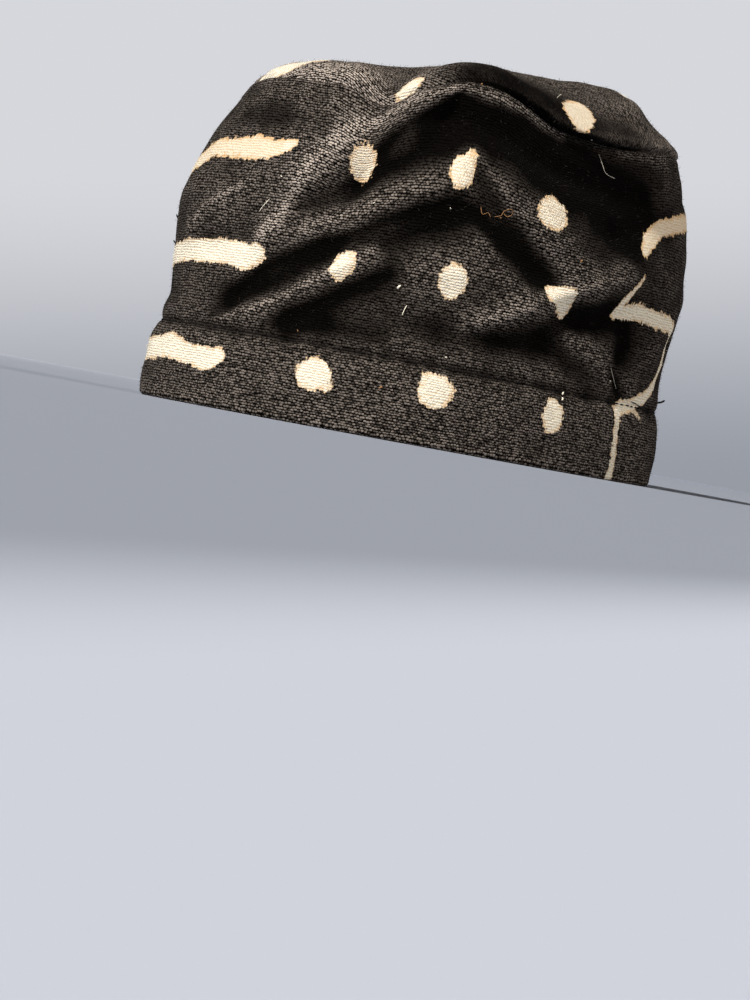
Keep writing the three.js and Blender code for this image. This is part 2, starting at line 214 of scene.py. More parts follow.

# The finer creases of the side that shows, and the light and shade of their folds, painted into
# the dye as its wear. Each is a line of places (round the cap, height) with the height of its
# ridge (below zero for a furrow), how worn and lit it is painted (below zero, painted shade where
# the dye is kept black), and the half of its width.
CREASES = [
    # From the seam's highest wave down to the front: its lit ridge and the dark slope behind it
    (1.8, 2.6, 4.0, [(49, 101.5), (39.5, 102), (31.4, 101.5), (24.2, 96.3), (20, 89.3),
                     (15, 78.7), (9.5, 67.5), (6, 60.3), (0, 54.3)]),
    (-2.2, -1.0, 6.0, [(50, 95.5), (41, 94), (35, 89.5), (31, 83.5), (27.5, 76.5)]),
    # The ridge over the upper furrow, and that furrow
    (2.0, 1.2, 4.5, [(15.7, 58.3), (26, 64.8), (35.4, 69.3), (44.3, 72.5), (50.7, 74.7)]),
    (-2.4, -2.2, 4.6, [(-7, 35.5), (4.9, 46.5), (15.4, 51.7), (26.7, 57.5), (34.7, 62),
                       (41.3, 65.7), (49.9, 68.7), (56.8, 70.8)]),
    # The thin ridge above the hem and its furrow
    (1.9, 1.7, 2.8, [(-8.7, 28), (3.8, 32.5), (12.6, 37), (20.7, 43), (28.5, 48.5), (38.7, 56)]),
    (-2.2, -2.8, 6.0, [(16.4, 32), (23.9, 36), (33.2, 42.5), (45, 50)]),
    # The ridge that falls towards the wearer's left, and the furrow before it
    (1.7, 1.2, 3.6, [(64, 85.5), (70.9, 81.3), (78.6, 77.3), (91.3, 70), (105.7, 60)]),
    (-2.2, -1.9, 4.6, [(61.9, 72.5), (68.6, 70), (74.1, 66.7), (81.9, 63.3), (88.4, 61),
                       (98, 57.5)]),
    # The low ridge that climbs towards the wearer's left, and the hollow below it
    (1.6, 1.5, 4.4, [(77.8, 40.5), (86, 44.7), (94.3, 49), (113.8, 58), (137.6, 65)]),
    (-2.2, -2.2, 6.5, [(119.4, 48.5), (128.9, 51.3), (140.6, 52), (146.7, 45.5), (142.8, 39.5)]),
    (1.3, 1.1, 2.8, [(114.6, 42.3), (125.4, 37.3), (140.2, 31)]),
    # The wide black hollow under the seam, and the thin lit line along the seam's edge
    (-1.6, -3.0, 11.0, [(54, 95.5), (63, 94.5), (72, 93.5), (86, 93.5), (104, 92.5), (122, 89),
                        (134, 85), (146, 79)]),
    (0.9, 3.0, 1.8, [(50.3, 103.3), (58.4, 102.7), (65, 102.5), (74.1, 103.1), (82.7, 103.5),
                     (97.6, 103.5)]),
    (0.8, 1.4, 1.8, [(128, 103.5), (144.1, 103.5), (162, 103.5)]),
    # Small ones
    (1.2, 0.8, 2.8, [(-36.5, 54.8), (-24.2, 63), (-9.8, 69.7)]),
    (-1.0, -0.7, 7.0, [(-30, 92), (-22, 94.5), (-8, 95)]),
    (-1.3, -1.4, 7.0, [(118.1, 80), (132.4, 77.5), (142, 71.7)]),
    (-0.8, -0.9, 5.0, [(75.8, 36), (86.8, 35.3), (99.3, 35.3)]),
    (-0.7, -0.8, 4.0, [(-14, 30), (2.1, 29.5), (14, 30), (30, 31), (48, 30.5)]),
    # A pinch in the hem beside the zigzag
    (-1.5, -2.0, 1.5, [(139.5, 33), (143, 31.5), (146.8, 28.7), (150.7, 27.1)]),
]

# How worn the wall is in general, with painted light on its lit parts and painted shade in its
# dark hollows, such as the one under the seam: round the cap, height, reach both ways, and how much
WORN_LIT_AND_SHADED_PATCHES = [
    (-10, 66, 30, 30, 0.5),
    (60, 8, 90, 12, 0.8),
    (50, 50, 26, 12, 0.6),
    (150, 50, 40, 50, -0.2),
    (168, 12, 14, 14, 0.8),
    (108, 92, 54, 14, -2.4),
    (40, 84, 16, 10, -0.3),
    (16, 84, 12, 12, 1.2),
    (24, 98, 12, 6, 1.6),
    (150, 14, 24, 14, 0.8),
]

# Puffs and dents of the top panel: back, left and spread are shares of the rim's half length
# and half width, and rises are shares of PUFF_RISE.
PUFFS = table(
    "back left spread rise",
    (0.34, 0.56, 0.42, 1.3), (-0.45, -0.55, 0.5, -1.7), (-0.56, 0.22, 0.2, -1),
    (-0.62, -0.08, 0.2, 0.3), (-0.5, 0.48, 0.22, 0.3), (-0.2, 0.6, 0.22, -0.5),
    (0.1, 0.05, 0.3, -0.3), (0.65, -0.2, 0.3, -0.4), (0.3, -0.6, 0.25, 0.3),
    (0.06, 0.55, 0.2, -0.3), (0.3, 0.2, 0.3, -0.4), (-0.42, -0.14, 0.3, -0.5),
)

# How worn the panel is in general, and where it is more or less so: paler at its front edge as
# painted light, and darker towards its left as painted shade: left, back, reach and how much
PANEL_WORN = 1.3
PANEL_WORN_LIT_AND_SHADED_PATCHES = [
    (-30, -72, 38, 1.6), (16, -78, 20, 1.6), (48, -68, 14, -3.4), (62, -52, 16, -3.6),
    (72, -30, 15, -3.0), (80, -8, 12, -2.4), (50, -36, 14, -1.2),
]

# The pale marks of the wall's cloth. Rounds are dots: round the cap and height of the middle,
# half width, half height, and lean in degrees.
WALL_DOTS = [
    (28.9, 15.9, 5.8, 5.2, 0),
    (34.0, 12.7, 1.5, 2.1, -20),
    (67.0, 17.4, 5.9, 5.3, 10),
    (64.0, 20.9, 2.6, 2.2, 0),
    (111.3, 17.0, 4.6, 5.5, 0),
    (30.6, 50.1, 3.5, 4.9, -22),
    (65.3, 51.2, 4.8, 5.3, 0),
    (27.6, 84.4, 4.1, 6.6, 16),
    (61.0, 80.2, 4.4, 4.8, -12),
    (63.0, 84.0, 2.0, 2.2, 0),
    (95.4, 78.2, 6.4, 5.2, 0),
]

# Strokes are bands through points: round the cap, height and half the band's width.
WALL_STROKES = [
    # The three bars towards the wearer's right
    [(-84, 14, 2.6), (-62, 14.8, 3.7), (-45, 15.7, 3.9), (-33, 17.2, 4.2), (-19, 15.4, 3.2),
     (-9, 14.7, 3.8), (-5, 16, 2.8)],
    [(-86, 45, 2.8), (-60, 46.4, 3.6), (-36, 47.8, 3.6), (-14, 48.7, 4.0), (-4, 47.9, 4.2),
     (0, 49, 3.4)],
    [(-82, 74, 2.6), (-60, 75.4, 3.4), (-46, 77.8, 3.1), (-36, 80.6, 2.8), (-22, 80.6, 3.2),
     (-14, 81.1, 4.2), (-5, 81.1, 3.3), (3.2, 83.6, 1.9)],
    # A dot that is pulled out to a point
    [(101.4, 54.0, 2.6), (106.6, 53.2, 4.2), (109.8, 49.4, 2.4)],
]

# The zigzag on the wearer's left, with its corner and its prong
ZIGZAG = [
    [(203, 87, 2.6), (186, 85.4, 2.8), (172, 82.9, 2.7), (160, 81, 3.0), (153, 77.6, 2.9),
     (148.5, 73.6, 1.9)],
    [(148.5, 66.5, 0.8), (144, 61.2, 1.2), (141, 57, 2.0), (140.4, 53.6, 2.5), (152, 55, 2.8),
     (165, 54.2, 2.7), (179, 54, 2.6), (184, 52, 2.5), (184, 47, 2.2), (182, 41, 2.2),
     (177, 34, 2.3), (168, 29, 2.4), (158, 25.6, 2.6), (150, 24.2, 2.2), (146.2, 22, 2.0),
     (145.8, 14, 1.7), (146.2, 6, 1.9), (146.6, 1, 2.2), (144.5, -3, 2.2)],
    [(158, 24.6, 1.4), (165.5, 21, 0.8)],
]
ZIGZAG_AGAIN = 196.0  # where it comes again behind, further round the cap

# The dots go on round the back in the same three rows
BACK_DOT_COLUMNS = (228.0, 264.0, 300.0, 410.0, 446.0)
BACK_DOT_ROWS = (15.0, 49.5, 80.0)
BACK_DOT_HALF = 5.0
BACK_DOT_STRAY = 1.6
BACK_DOT_VARIES = 0.3

# Fuzz: hairs to a square millimetre, a hair's radius, its bend, its sizes, how far it leans in
# radians, and the rows of the cloth between which hairs stand
HAIRS = 0.14
SQUARE_METRE = 1e6
HAIR_RADIUS = 0.038
HAIR_BEND = ((0, 0, -0.1), (0, 0, 0.75), (0.6, 0.1, 1.0))
HAIR_SIZES = (0.3, 0.95)
HAIR_LEANS = (1.25, 0.3, 6.28)
FUZZ_WALL_ROWS = (HEM_ROWS + 4, 2 * HEM_ROWS + FOLD_ROWS + CREASE_ROWS + BODY_ROWS)
FUZZ_PANEL_ROWS = (ALLOWANCE_ROWS + 3, ALLOWANCE_ROWS + CROWN_ROWS)

# The hem's thread
STITCH_PITCH = 3.6
STITCH_LENGTH = 2.5
STITCH_THICKNESS = 0.5
HEM_STITCH_IN = 3.0  # how far inside the hem's edge the thread shows on the inner face

# A curl of lint, in shares of its size: its reach, its radius and how far its middle swings out
CURL_REACH = 1.3
CURL_RADIUS = 0.62
CURL_SWING = 0.4
CURL_TURN = 9.0  # how far chance turns it on the cloth, in radians
CURL_LIFT = 0.1  # how far its ends lie off the cloth, in millimetres

# Loose threads, each a line of places: round the cap, height, and lift off the cloth. A speck of
# lint has a size and one place. The finishes are numbered: cream, tan, black. On the panel the
# height is the share of the way from its allowance's end to its middle.
WALL_THREADS = [
    (0, 0.10, [(1.7, 66.2, 0.2), (0, 63.6, 0.7), (-1.4, 61.9, 0.3)]),
    (0, 0.13, [(52.8, 41.6, 0.2), (52.2, 39.8, 0.6), (52.0, 38.4, 0.3)]),
    (1, 0.08, [(69.6, 72.6, 0.2), (70.6, 70.8, 0.9), (72.6, 71.6, 0.4), (73.7, 70.6, 0.7)]),
    (1, 0.08, [(75.4, 71.2, 0.2), (77.4, 72.0, 0.8), (78.6, 73.8, 0.4), (80.2, 74.9, 0.9),
               (81.2, 73.8, 0.5), (80.0, 72.6, 0.9), (78.6, 73.0, 0.3)]),
    (0, 0.06, [(116.5, 101.4, 0.5), (118.0, 98.6, 1.3), (121.2, 96.2, 1.2), (127.5, 95.2, 0.4)]),
    (0, 0.06, [(138, 35.6, 0.1), (142.3, 32.4, 0.4), (146.2, 29.4, 0.2)]),
    (2, 0.15, [(146.7, 28.5, 0.0), (150.7, 27.4, 0.2), (159, 26.4, 0.25), (167.5, 25.6, 0.2)]),
    (2, 0.33, [(198.0, 28.6, -0.2), (198.6, 28.9, 1.2), (199.6, 29.6, 2.4)]),
    (2, 0.24, [(-78.5, 59.0, -0.2), (-79, 59.4, 0.8), (-80, 60.6, 1.4)]),
    (2, 0.24, [(-79, 51.0, -0.2), (-79.6, 51.2, 0.9), (-80.4, 52.0, 1.6)]),
]
WALL_SPECKS = [
    (0, 0.26, 4.2, 73.4), (0, 0.24, 35.8, 69.6), (0, 0.20, 59.9, 70.4), (0, 0.50, 49.2, 46.6),
    (1, 0.34, 108.6, 66.0), (0, 0.28, 68.6, 28.2), (0, 0.26, 138.9, 31.4), (0, 0.42, 116.6, 24.6),
    (0, 0.36, 115.4, 22.8), (1, 0.40, 49.9, 15.4), (1, 0.22, 77.8, 71.6), (1, 0.20, 20.0, 28.0),
]
PANEL_THREADS = [
    (0, 0.07, [(98.6, 0.458, 0.1), (98.7, 0.455, 1.0), (99.0, 0.45, 1.9)]),
]
PANEL_SPECKS = [(1, 0.3, 66.0, 0.52), (1, 0.3, 59.5, 0.12), (0, 0.2, 111.0, 0.14)]
PANEL_PER_MM = 1 / 90  # a millimetre on the panel as a share of its way inwards

# The top panel's marks, by place on the panel laid flat, left and back of its middle
CROWN_DOTS = [
    (31.6, -77.6, 4.2, 3.6, 0),
    (65.4, -28.2, 6.0, 11.6, 38),
    (20.0, -6.0, 5.0, 5.0, 0),
    (50.0, 26.0, 4.2, 4.2, 0),
    (-6.0, -9.0, 5.0, 5.3, 0),
    (29.0, 28.0, 4.8, 5.2, 0),
    (-5.0, 26.0, 5.2, 4.9, 0),
    (50.0, 60.0, 5.0, 5.2, 0),
    (16.0, 64.0, 5.1, 4.7, 0),
    (-7.0, 61.0, 4.8, 5.0, 0),
]
CROWN_STROKES = [
    [(-32, -74, 2.6), (-21, -80, 3.2), (-12, -80.5, 3.2), (-3, -77.5, 2.8)],
    [(-84, -40, 3), (-62, -42, 3.4), (-42, -43, 3.6)],
    [(-84, -6, 3), (-64, -8, 3.6), (-44, -7, 3.4)],
    [(-84, 28, 3), (-62, 27, 3.4), (-43, 29, 3.6)],
]


def smooth_step(value, start, end):
    t = np.clip((value - start) / (end - start), 0, 1)
    return t * t * (3 - 2 * t)


def mound(value, middle, span):
    """1 at the middle, and falling smoothly to nothing on both sides."""
    return np.exp(-(((value - middle) / span) ** 2))


def fold_section(away):
    """The section across a fold, by shares of its width: 1 on its crest, falling on both sides."""
    return np.exp(-FOLD_FALL * (np.sqrt(away * away + FOLD_CREST**2) - FOLD_CREST))


def along(rows, place, column, at, period=0.0):
    """A smooth curve through one column of a table, read at places. A period closes it."""
    x = np.array([float(row[place]) for row in rows])
    y = np.array([float(row[column]) for row in rows])
    at = np.asarray(at, float)
    if period:
        at = x[0] + np.mod(at - x[0], period)
        x = np.concatenate([[x[-1] - period], x, x[:2] + period])
        y = np.concatenate([[y[-1]], y, y[:2]])
    else:
        x = np.concatenate([[x[0]], x, [x[-1]]])
        y = np.concatenate([[y[0]], y, [y[-1]]])
    i = np.clip(np.searchsorted(x[1:-1], at, side="right"), 1, len(x) - 3)
    step = x[i + 1] - x[i]
    t = np.clip((at - x[i]) / step, 0, 1)
    start_slope = (y[i + 1] - y[i - 1]) / (x[i + 1] - x[i - 1])
    end_slope = (y[i + 2] - y[i]) / (x[i + 2] - x[i])
    return (
        y[i] * (1 + 2 * t) * (1 - t) ** 2
        + y[i + 1] * t * t * (3 - 2 * t)
        + start_slope * step * t * (1 - t) ** 2
        - end_slope * step * t * t * (1 - t)
    )


def oval(angle):
    """The direction in plan of an angle on the rim's oval."""
    turn = np.radians(angle)
    return np.stack([np.sin(turn), -np.cos(turn)], -1)


def out_from(angle):
    """The level way out of the rim's oval at an angle."""
    away = oval(angle) / (HALF_WIDTH, HALF_LENGTH)
    return away / np.linalg.norm(away, axis=-1, keepdims=True)


ARC_PER_DEGREE = math.pi * (HALF_LENGTH + HALF_WIDTH) / FULL_TURN


def folds_at(angle, height):
    """How far the folds move the wall's cloth out, in shares of FOLD_DEPTH."""
    total = np.zeros_like(height)
    for from_angle, from_height, to_angle, to_height, depth, width in FOLDS:
        turn = np.mod(angle - from_angle + FULL_TURN / 2, FULL_TURN) - FULL_TURN / 2
        x, z = turn * ARC_PER_DEGREE, height - from_height * WALL_HEIGHT
        run_x = (to_angle - from_angle) * ARC_PER_DEGREE
        run_z = (to_height - from_height) * WALL_HEIGHT
        share = np.clip((x * run_x + z * run_z) / (run_x**2 + run_z**2), 0, 1)
        away = np.hypot(x - run_x * share, z - run_z * share) / (width * FOLD_WIDTH)
        total += depth * FOLD_SHARPER * fold_section(away)
    return total


def creases_at(x, y, as_wear_and_light=False):
    """The creases' heights at places on the cloth, or the light and shade painted along them as
    wear.
    """
    total = np.zeros_like(x)
    for rise, worn_and_lit, half_width, places in CREASES:
        line = [(across, height, 0.0) for across, height in places]
        away = -stroke_distance(x, y, [line], GIRTH) / half_width
        total += (worn_and_lit if as_wear_and_light else rise) * fold_section(away)
    return total


def wall_wear_light_and_shade(x, y):
    """How worn the wall's dye is painted, with painted light and shade, by its creases and its
    patches.
    """
    total = creases_at(x, y, as_wear_and_light=True)
    for across, height, reach_x, reach_y, amount in WORN_LIT_AND_SHADED_PATCHES:
        dx = np.mod(x - across + GIRTH / 2, GIRTH) - GIRTH / 2
        total += amount * np.exp(-((dx / reach_x) ** 2) - ((y - height) / reach_y) ** 2)
    return total


def wall_face(angle, up):
    """Points of the wall's outer face: up runs from 0 at the rim to 1 at the seam."""
    angle, up = np.broadcast_arrays(np.asarray(angle, float), np.asarray(up, float))
    height = up * WALL_HEIGHT
    near_seam = smooth_step(up, SEAM_WAVE_FROM, 1)
    above_hem = smooth_step(height, HEM_HEIGHT * FOLDS_FROM, HEM_HEIGHT * FOLDS_FULL)
    out = -CREASE_DEPTH * mound(height, HEM_HEIGHT, CREASE_WIDTH)
    out = out + above_hem * FOLD_DEPTH * folds_at(angle, height)
    out = out + near_seam * FOLD_DEPTH * along(SEAM, "angle", "out", angle, FULL_TURN)
    reach = along(WALL_OUTLINE, "height", "reach", up)
    plan = oval(angle) * (HALF_WIDTH, HALF_LENGTH) * reach[..., None]
    plan = plan + out_from(angle) * out[..., None]
    plan = plan + np.array([LEAN_LEFT, LEAN_BACK]) * (up**3)[..., None]
    rise = near_seam * SEAM_WAVE * along(SEAM, "angle", "rise", angle, FULL_TURN)
    return np.concatenate([plan, (height + rise)[..., None]], -1)


def crown_face(angle, inward):
    """Points of the top panel's outer face: inward runs from 0 at the seam to 1 in the middle."""
    angle, inward = np.broadcast_arrays(np.asarray(angle, float), np.asarray(inward, float))
    seam = wall_face(angle, 1.0)
    reach = along(CROWN_OUTLINE, "inward", "reach", inward)
    rise = along(CROWN_OUTLINE, "inward", "rise", inward) * CROWN_RISE
    wave = (seam[..., 2] - WALL_HEIGHT) * smooth_step(reach, CROWN_WAVE_FROM, 1)
    x, y = seam[..., 0] * reach, seam[..., 1] * reach
    puff = np.zeros_like(x)
    for p in PUFFS:
        away = np.hypot(x / HALF_WIDTH - p["left"], y / HALF_LENGTH - p["back"]) / p["spread"]
        puff += p["rise"] * PUFF_RISE * np.exp(-away * away)
    free = 1 - smooth_step(reach, PUFFS_FULL, 1)
    return np.stack([x, y, WALL_HEIGHT + SEAM_GAP + wave + rise + puff * free], -1)


def unevenness(points, span, seed):
    """Smooth random heights from -1 to 1 at points, with bumps about a span apart."""
    flat = points.reshape(-1, 3) / span + seed
    heights = [noise.noise(Vector(p)) for p in flat]
    return np.array(heights).reshape(points.shape[:-1])


def grid_normals(rows):
    """The outward directions of a closed grid of rows by columns."""
    around = np.roll(rows, -1, axis=1) - np.roll(rows, 1, axis=1)
    onward = np.gradient(rows, axis=0)
    normals = np.cross(around, onward)
    return normals / np.maximum(np.linalg.norm(normals, axis=-1, keepdims=True), 1e-9)


ANGLES = np.arange(COLUMNS) * FULL_TURN / COLUMNS
TUCK = along(SEAM_SET, "angle", "tuck", ANGLES, FULL_TURN)[:, None]
HANG = along(SEAM_SET, "angle", "hang", ANGLES, FULL_TURN)[:, None]
LIP = along(SEAM_SET, "angle", "lip", ANGLES, FULL_TURN)[:, None]
OUT = np.concatenate([out_from(ANGLES), np.zeros((COLUMNS, 1))], 1)
UP = np.array([0.0, 0.0, 1.0])


def round_lengths():
    """Cloth length round the rim from the front, at each column and once more at the full turn."""
    turns = np.radians(np.linspace(0, FULL_TURN, COLUMNS + 1))
    plan = np.stack([HALF_WIDTH * np.sin(turns), HALF_LENGTH * np.cos(turns)], -1)
    steps = np.linalg.norm(np.diff(plan, axis=0), axis=1)
    return np.concatenate([[0], np.cumsum(steps)])


ROUND = round_lengths()
GIRTH = ROUND[-1]


def worn_wall(up):
    """A row of the wall's face as it is sewn, with its upper edge tucked in."""
    height = np.full(COLUMNS, up * WALL_HEIGHT)
    creases = creases_at(ROUND[:-1], height) * smooth_step(height, *CREASES_START)
    creases = creases * (1 - smooth_step(height, *CREASES_END))
    out = creases[:, None] - TUCK * smooth_step(up, TUCK_FROM, 1)
    return wall_face(ANGLES, up) + OUT * out


def wall_rows():
    """The wall's right side as rows from the hem's inner edge, round the rim and up to the inner
    end of the seam's allowance, with each row's place along the cloth."""
    rows, places = [], []
    rim_up = EDGE_ROLL / WALL_HEIGHT
    for height in np.linspace(HEM_HEIGHT - HEM_SHORT, EDGE_ROLL, HEM_ROWS, endpoint=False):
        rows.append(worn_wall(height / WALL_HEIGHT) - OUT * 2 * EDGE_ROLL)
        places.append(-height)
    middle = worn_wall(rim_up) - OUT * EDGE_ROLL
    for turn in np.linspace(-math.pi, 0, FOLD_ROWS, endpoint=False):
        rows.append(middle + EDGE_ROLL * (math.cos(turn) * OUT + math.sin(turn) * UP))
        places.append(EDGE_ROLL * (1 + 2 * turn / math.pi))
    crease_low, crease_high = HEM_HEIGHT - CREASE_WIDTH, HEM_HEIGHT + CREASE_WIDTH
    for height in np.concatenate([
        np.linspace(EDGE_ROLL, crease_low, HEM_ROWS, endpoint=False),
        np.linspace(crease_low, crease_high, CREASE_ROWS, endpoint=False),
        np.linspace(crease_high, WALL_HEIGHT, BODY_ROWS, endpoint=False),
    ]):
        rows.append(worn_wall(height / WALL_HEIGHT))
        places.append(height)
    seam = worn_wall(1.0)
    slope = seam - rows[-1]
    lean = np.arctan2(-(slope * OUT).sum(1), slope[:, 2])[:, None]
    middle = seam - EDGE_ROLL * (np.cos(lean) * OUT + np.sin(lean) * UP)
    for share in np.linspace(0, 1, ROLL_ROWS):
        turn = lean + (ALLOWANCE_ANGLE - lean) * share
        rows.append(middle + EDGE_ROLL * (np.cos(turn) * OUT + np.sin(turn) * UP))
        places.append(WALL_HEIGHT + EDGE_ROLL * ALLOWANCE_ANGLE * share)
    hang = -math.sin(ALLOWANCE_ANGLE) * OUT + math.cos(ALLOWANCE_ANGLE) * UP
    for _ in range(ALLOWANCE_ROWS):
        rows.append(rows[-1] + hang * ALLOWANCE / ALLOWANCE_ROWS)
        places.append(places[-1] + ALLOWANCE / ALLOWANCE_ROWS)
    return np.array(rows), np.array(places)


def crown_rows():
    """The top panel's right side as rows from its allowance's inner end to next to the middle,
    with the cloth length from each point to the middle."""
    rows = []
    for share in np.linspace(1, 0, ALLOWANCE_ROWS, endpoint=False):
        seam = crown_face(ANGLES, 0.0) - OUT * (LIP + TUCK + ALLOWANCE_SPREAD * share)
        rows.append(seam - UP * (ALLOWANCE_DROP + ALLOWANCE * share))
    for inward in np.linspace(0, 1, CROWN_ROWS + 1)[:-1] ** CROWN_CROWDING:
        back = (LIP + TUCK) * (1 - smooth_step(inward, 0, LIP_SPAN))
        out = np.maximum(HANG, 0) * mound(inward, HANG_AT, HANG_SPAN)
        out = out + np.minimum(HANG, 0) * mound(inward, DRAW_AT, DRAW_SPAN)
        out = out * smooth_step(inward, 0, HANG_BEGIN)
        sag = HANG_SAG * np.maximum(out, 0)
        rows.append(crown_face(ANGLES, inward) + OUT * (out - back) - UP * sag)
    rows = np.array(rows)
    middle = crown_face(0.0, 1.0)
    last = np.linalg.norm(rows[-1] - middle, axis=1)
    steps = np.linalg.norm(np.diff(rows, axis=0), axis=2)
    lengths = np.concatenate([np.cumsum(steps[::-1], axis=0)[::-1], np.zeros((1, COLUMNS))]) + last
    return rows, lengths, middle


def with_inner_face(rows, rough):
    """The right side moved out by small heights, its outward directions, and the inner face."""
    rows = rows + grid_normals(rows) * rough[..., None]
    normals = grid_normals(rows)
    return rows, normals, rows - normals * CLOTH


def relief(rows, span=7):
    """How far each point of a grid stands proud of the cloth round it, in millimetres."""
    heights = rows.copy()
    for axis in (0, 1):
        total = np.zeros_like(heights)
        for step in range(-span, span + 1):
            moved = np.roll(heights, step, axis=axis)
            if axis == 0:
                moved[:max(step, 0)] = heights[0]
                if step < 0:
                    moved[step:] = heights[-1]
            total += moved
        heights = total / (2 * span + 1)
    return ((rows - heights) * grid_normals(rows)).sum(-1)


def relief_wear_and_shade(rows):
    """How much each point's standing proud adds to its wear and painted shade (hollows darker,
    ridges paler), for the right side and the reverse.
    """
    proud = np.clip(relief(rows), -RELIEF_LIMIT, RELIEF_LIMIT)
    return np.tile(proud.ravel(), 2)


FAR_OUTSIDE = -99.0  # the depth inside a mark that is nowhere near


def dot_distance(x, y, dots, period=0.0):
    """Depth inside the nearest dot, below zero outside."""
    best = np.full(x.shape, FAR_OUTSIDE)
    for across, height, half_width, half_height, lean in dots:
        dx = x - across
        if period:
            dx = np.mod(dx + period / 2, period) - period / 2
        dy = y - height
        c, s = math.cos(math.radians(lean)), math.sin(math.radians(lean))
        size = np.hypot((dx * c + dy * s) / half_width, (dy * c - dx * s) / half_height)
        best = np.maximum(best, (1 - size) * min(half_width, half_height))
    return best


def stroke_distance(x, y, strokes, period=0.0):
    """Depth inside the nearest band, below zero outside."""
    best = np.full(x.shape, FAR_OUTSIDE)
    for stroke in strokes:
        for (ax, ay, a_half), (bx, by, b_half) in zip(stroke, stroke[1:]):
            dx = x - ax
            if period:
                halfway = (bx - ax) / 2
                dx = np.mod(dx - halfway + period / 2, period) + halfway - period / 2
            dy = y - ay
            run_x, run_y = bx - ax, by - ay
            share = np.clip((dx * run_x + dy * run_y) / (run_x**2 + run_y**2), 0, 1)
            away = np.hypot(dx - run_x * share, dy - run_y * share)
            best = np.maximum(best, a_half + (b_half - a_half) * share - away)
    return best


def back_dots():
    """The hidden columns of dots, each dot a little out of line."""
    dots = []
    for column in BACK_DOT_COLUMNS:
        for row in BACK_DOT_ROWS:
            stray = [noise.noise(Vector((column, row, k * 3.7))) for k in range(4)]
            across, height = column + BACK_DOT_STRAY * stray[0], row + BACK_DOT_STRAY * stray[1]
            half_width, half_height = [BACK_DOT_HALF * (1 + BACK_DOT_VARIES * k) for k in stray[2:]]
            dots.append((across, height, half_width, half_height, 0))
    return dots


def wall_marks(x, y):
    """Depth inside the wall's marks, below zero outside them."""
    again = [[(a + ZIGZAG_AGAIN, h, half) for a, h, half in stroke] for stroke in ZIGZAG]
    dots = dot_distance(x, y, WALL_DOTS + back_dots(), GIRTH)
    return np.maximum(dots, stroke_distance(x, y, WALL_STROKES + ZIGZAG + again, GIRTH))


def crown_marks(x, y):
    """The same for the panel's marks."""
    return np.maximum(dot_distance(x, y, CROWN_DOTS), stroke_distance(x, y, CROWN_STROKES))


def mesh_object(name, points, faces, finishes, finish_of=None, edges=()):
    """A smooth mesh object at the origin, from points in millimetres."""
    mesh = bpy.data.meshes.new(name)
    mesh.from_pydata((np.asarray(points) * MM).tolist(), edges, [tuple(f) for f in faces])
    for finish in finishes:
        mesh.materials.append(finish)
    if finish_of is not None:
        mesh.polygons.foreach_set("material_index", np.asarray(finish_of, np.int32))
    mesh.polygons.foreach_set("use_smooth", np.ones(len(mesh.polygons), bool))
    mesh.update()
    piece = bpy.data.objects.new(name, mesh)
    bpy.context.scene.collection.objects.link(piece)
    return piece


def strip_faces(row_count, start, flip):
    """The faces between rows of columns that close on themselves."""
    r, c = np.meshgrid(np.arange(row_count - 1), np.arange(COLUMNS), indexing="ij")
    right = (c + 1) % COLUMNS
    quads = [start + r * COLUMNS + c, start + r * COLUMNS + right,
             start + (r + 1) * COLUMNS + right, start + (r + 1) * COLUMNS + c]
    if flip:
        quads.reverse()
    return np.stack(quads, -1).reshape(-1, 4)


def edge_faces(first_row, second_row):
    """The faces that join two rows of points, by the numbers of their first points."""
    c = np.arange(COLUMNS)
    right = (c + 1) % COLUMNS
    return np.stack([first_row + c, second_row + c, second_row + right, first_row + right], -1)


CARRIED_LIMIT = 6.0  # the mesh carries depths and wear no further from zero than this


def add_cloth_places(piece, across, onward, marks, wear_light_and_shade):
    """Gives a piece its cloth's own places as a UV map, in shares of the girth, and two
    attributes: the depth inside the nearest mark, and how worn the dye is, with painted light and
    shade. Places are by point, and a face that crosses from the last column to the first has the
    girth added beyond it."""
    mesh = piece.data
    corners = np.empty(len(mesh.loops), np.int32)
    mesh.loops.foreach_get("vertex_index", corners)
    starts = np.empty(len(mesh.polygons), np.int32)
    totals = np.empty(len(mesh.polygons), np.int32)
    mesh.polygons.foreach_get("loop_start", starts)
    mesh.polygons.foreach_get("loop_total", totals)
    u = across[corners]
    face_top = np.maximum.reduceat(u, starts)
    u = np.where(np.repeat(face_top, totals) - u > GIRTH / 2, u + GIRTH, u)
    places = np.stack([u, onward[corners]], -1) / GIRTH
    mesh.uv_layers.new(name="cloth").data.foreach_set("uv", places.ravel())
    for name, values in (("mark_depth", marks), ("wear_light_and_shade", wear_light_and_shade)):
        attribute = mesh.attributes.new(name, "FLOAT", "POINT")
        kept = np.clip(values, -CARRIED_LIMIT, CARRIED_LIMIT)
        attribute.data.foreach_set("value", kept.astype(np.float32))


def dress(piece):
    """Every piece of the cap is still: it hangs from the root body."""
    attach(piece, "root")


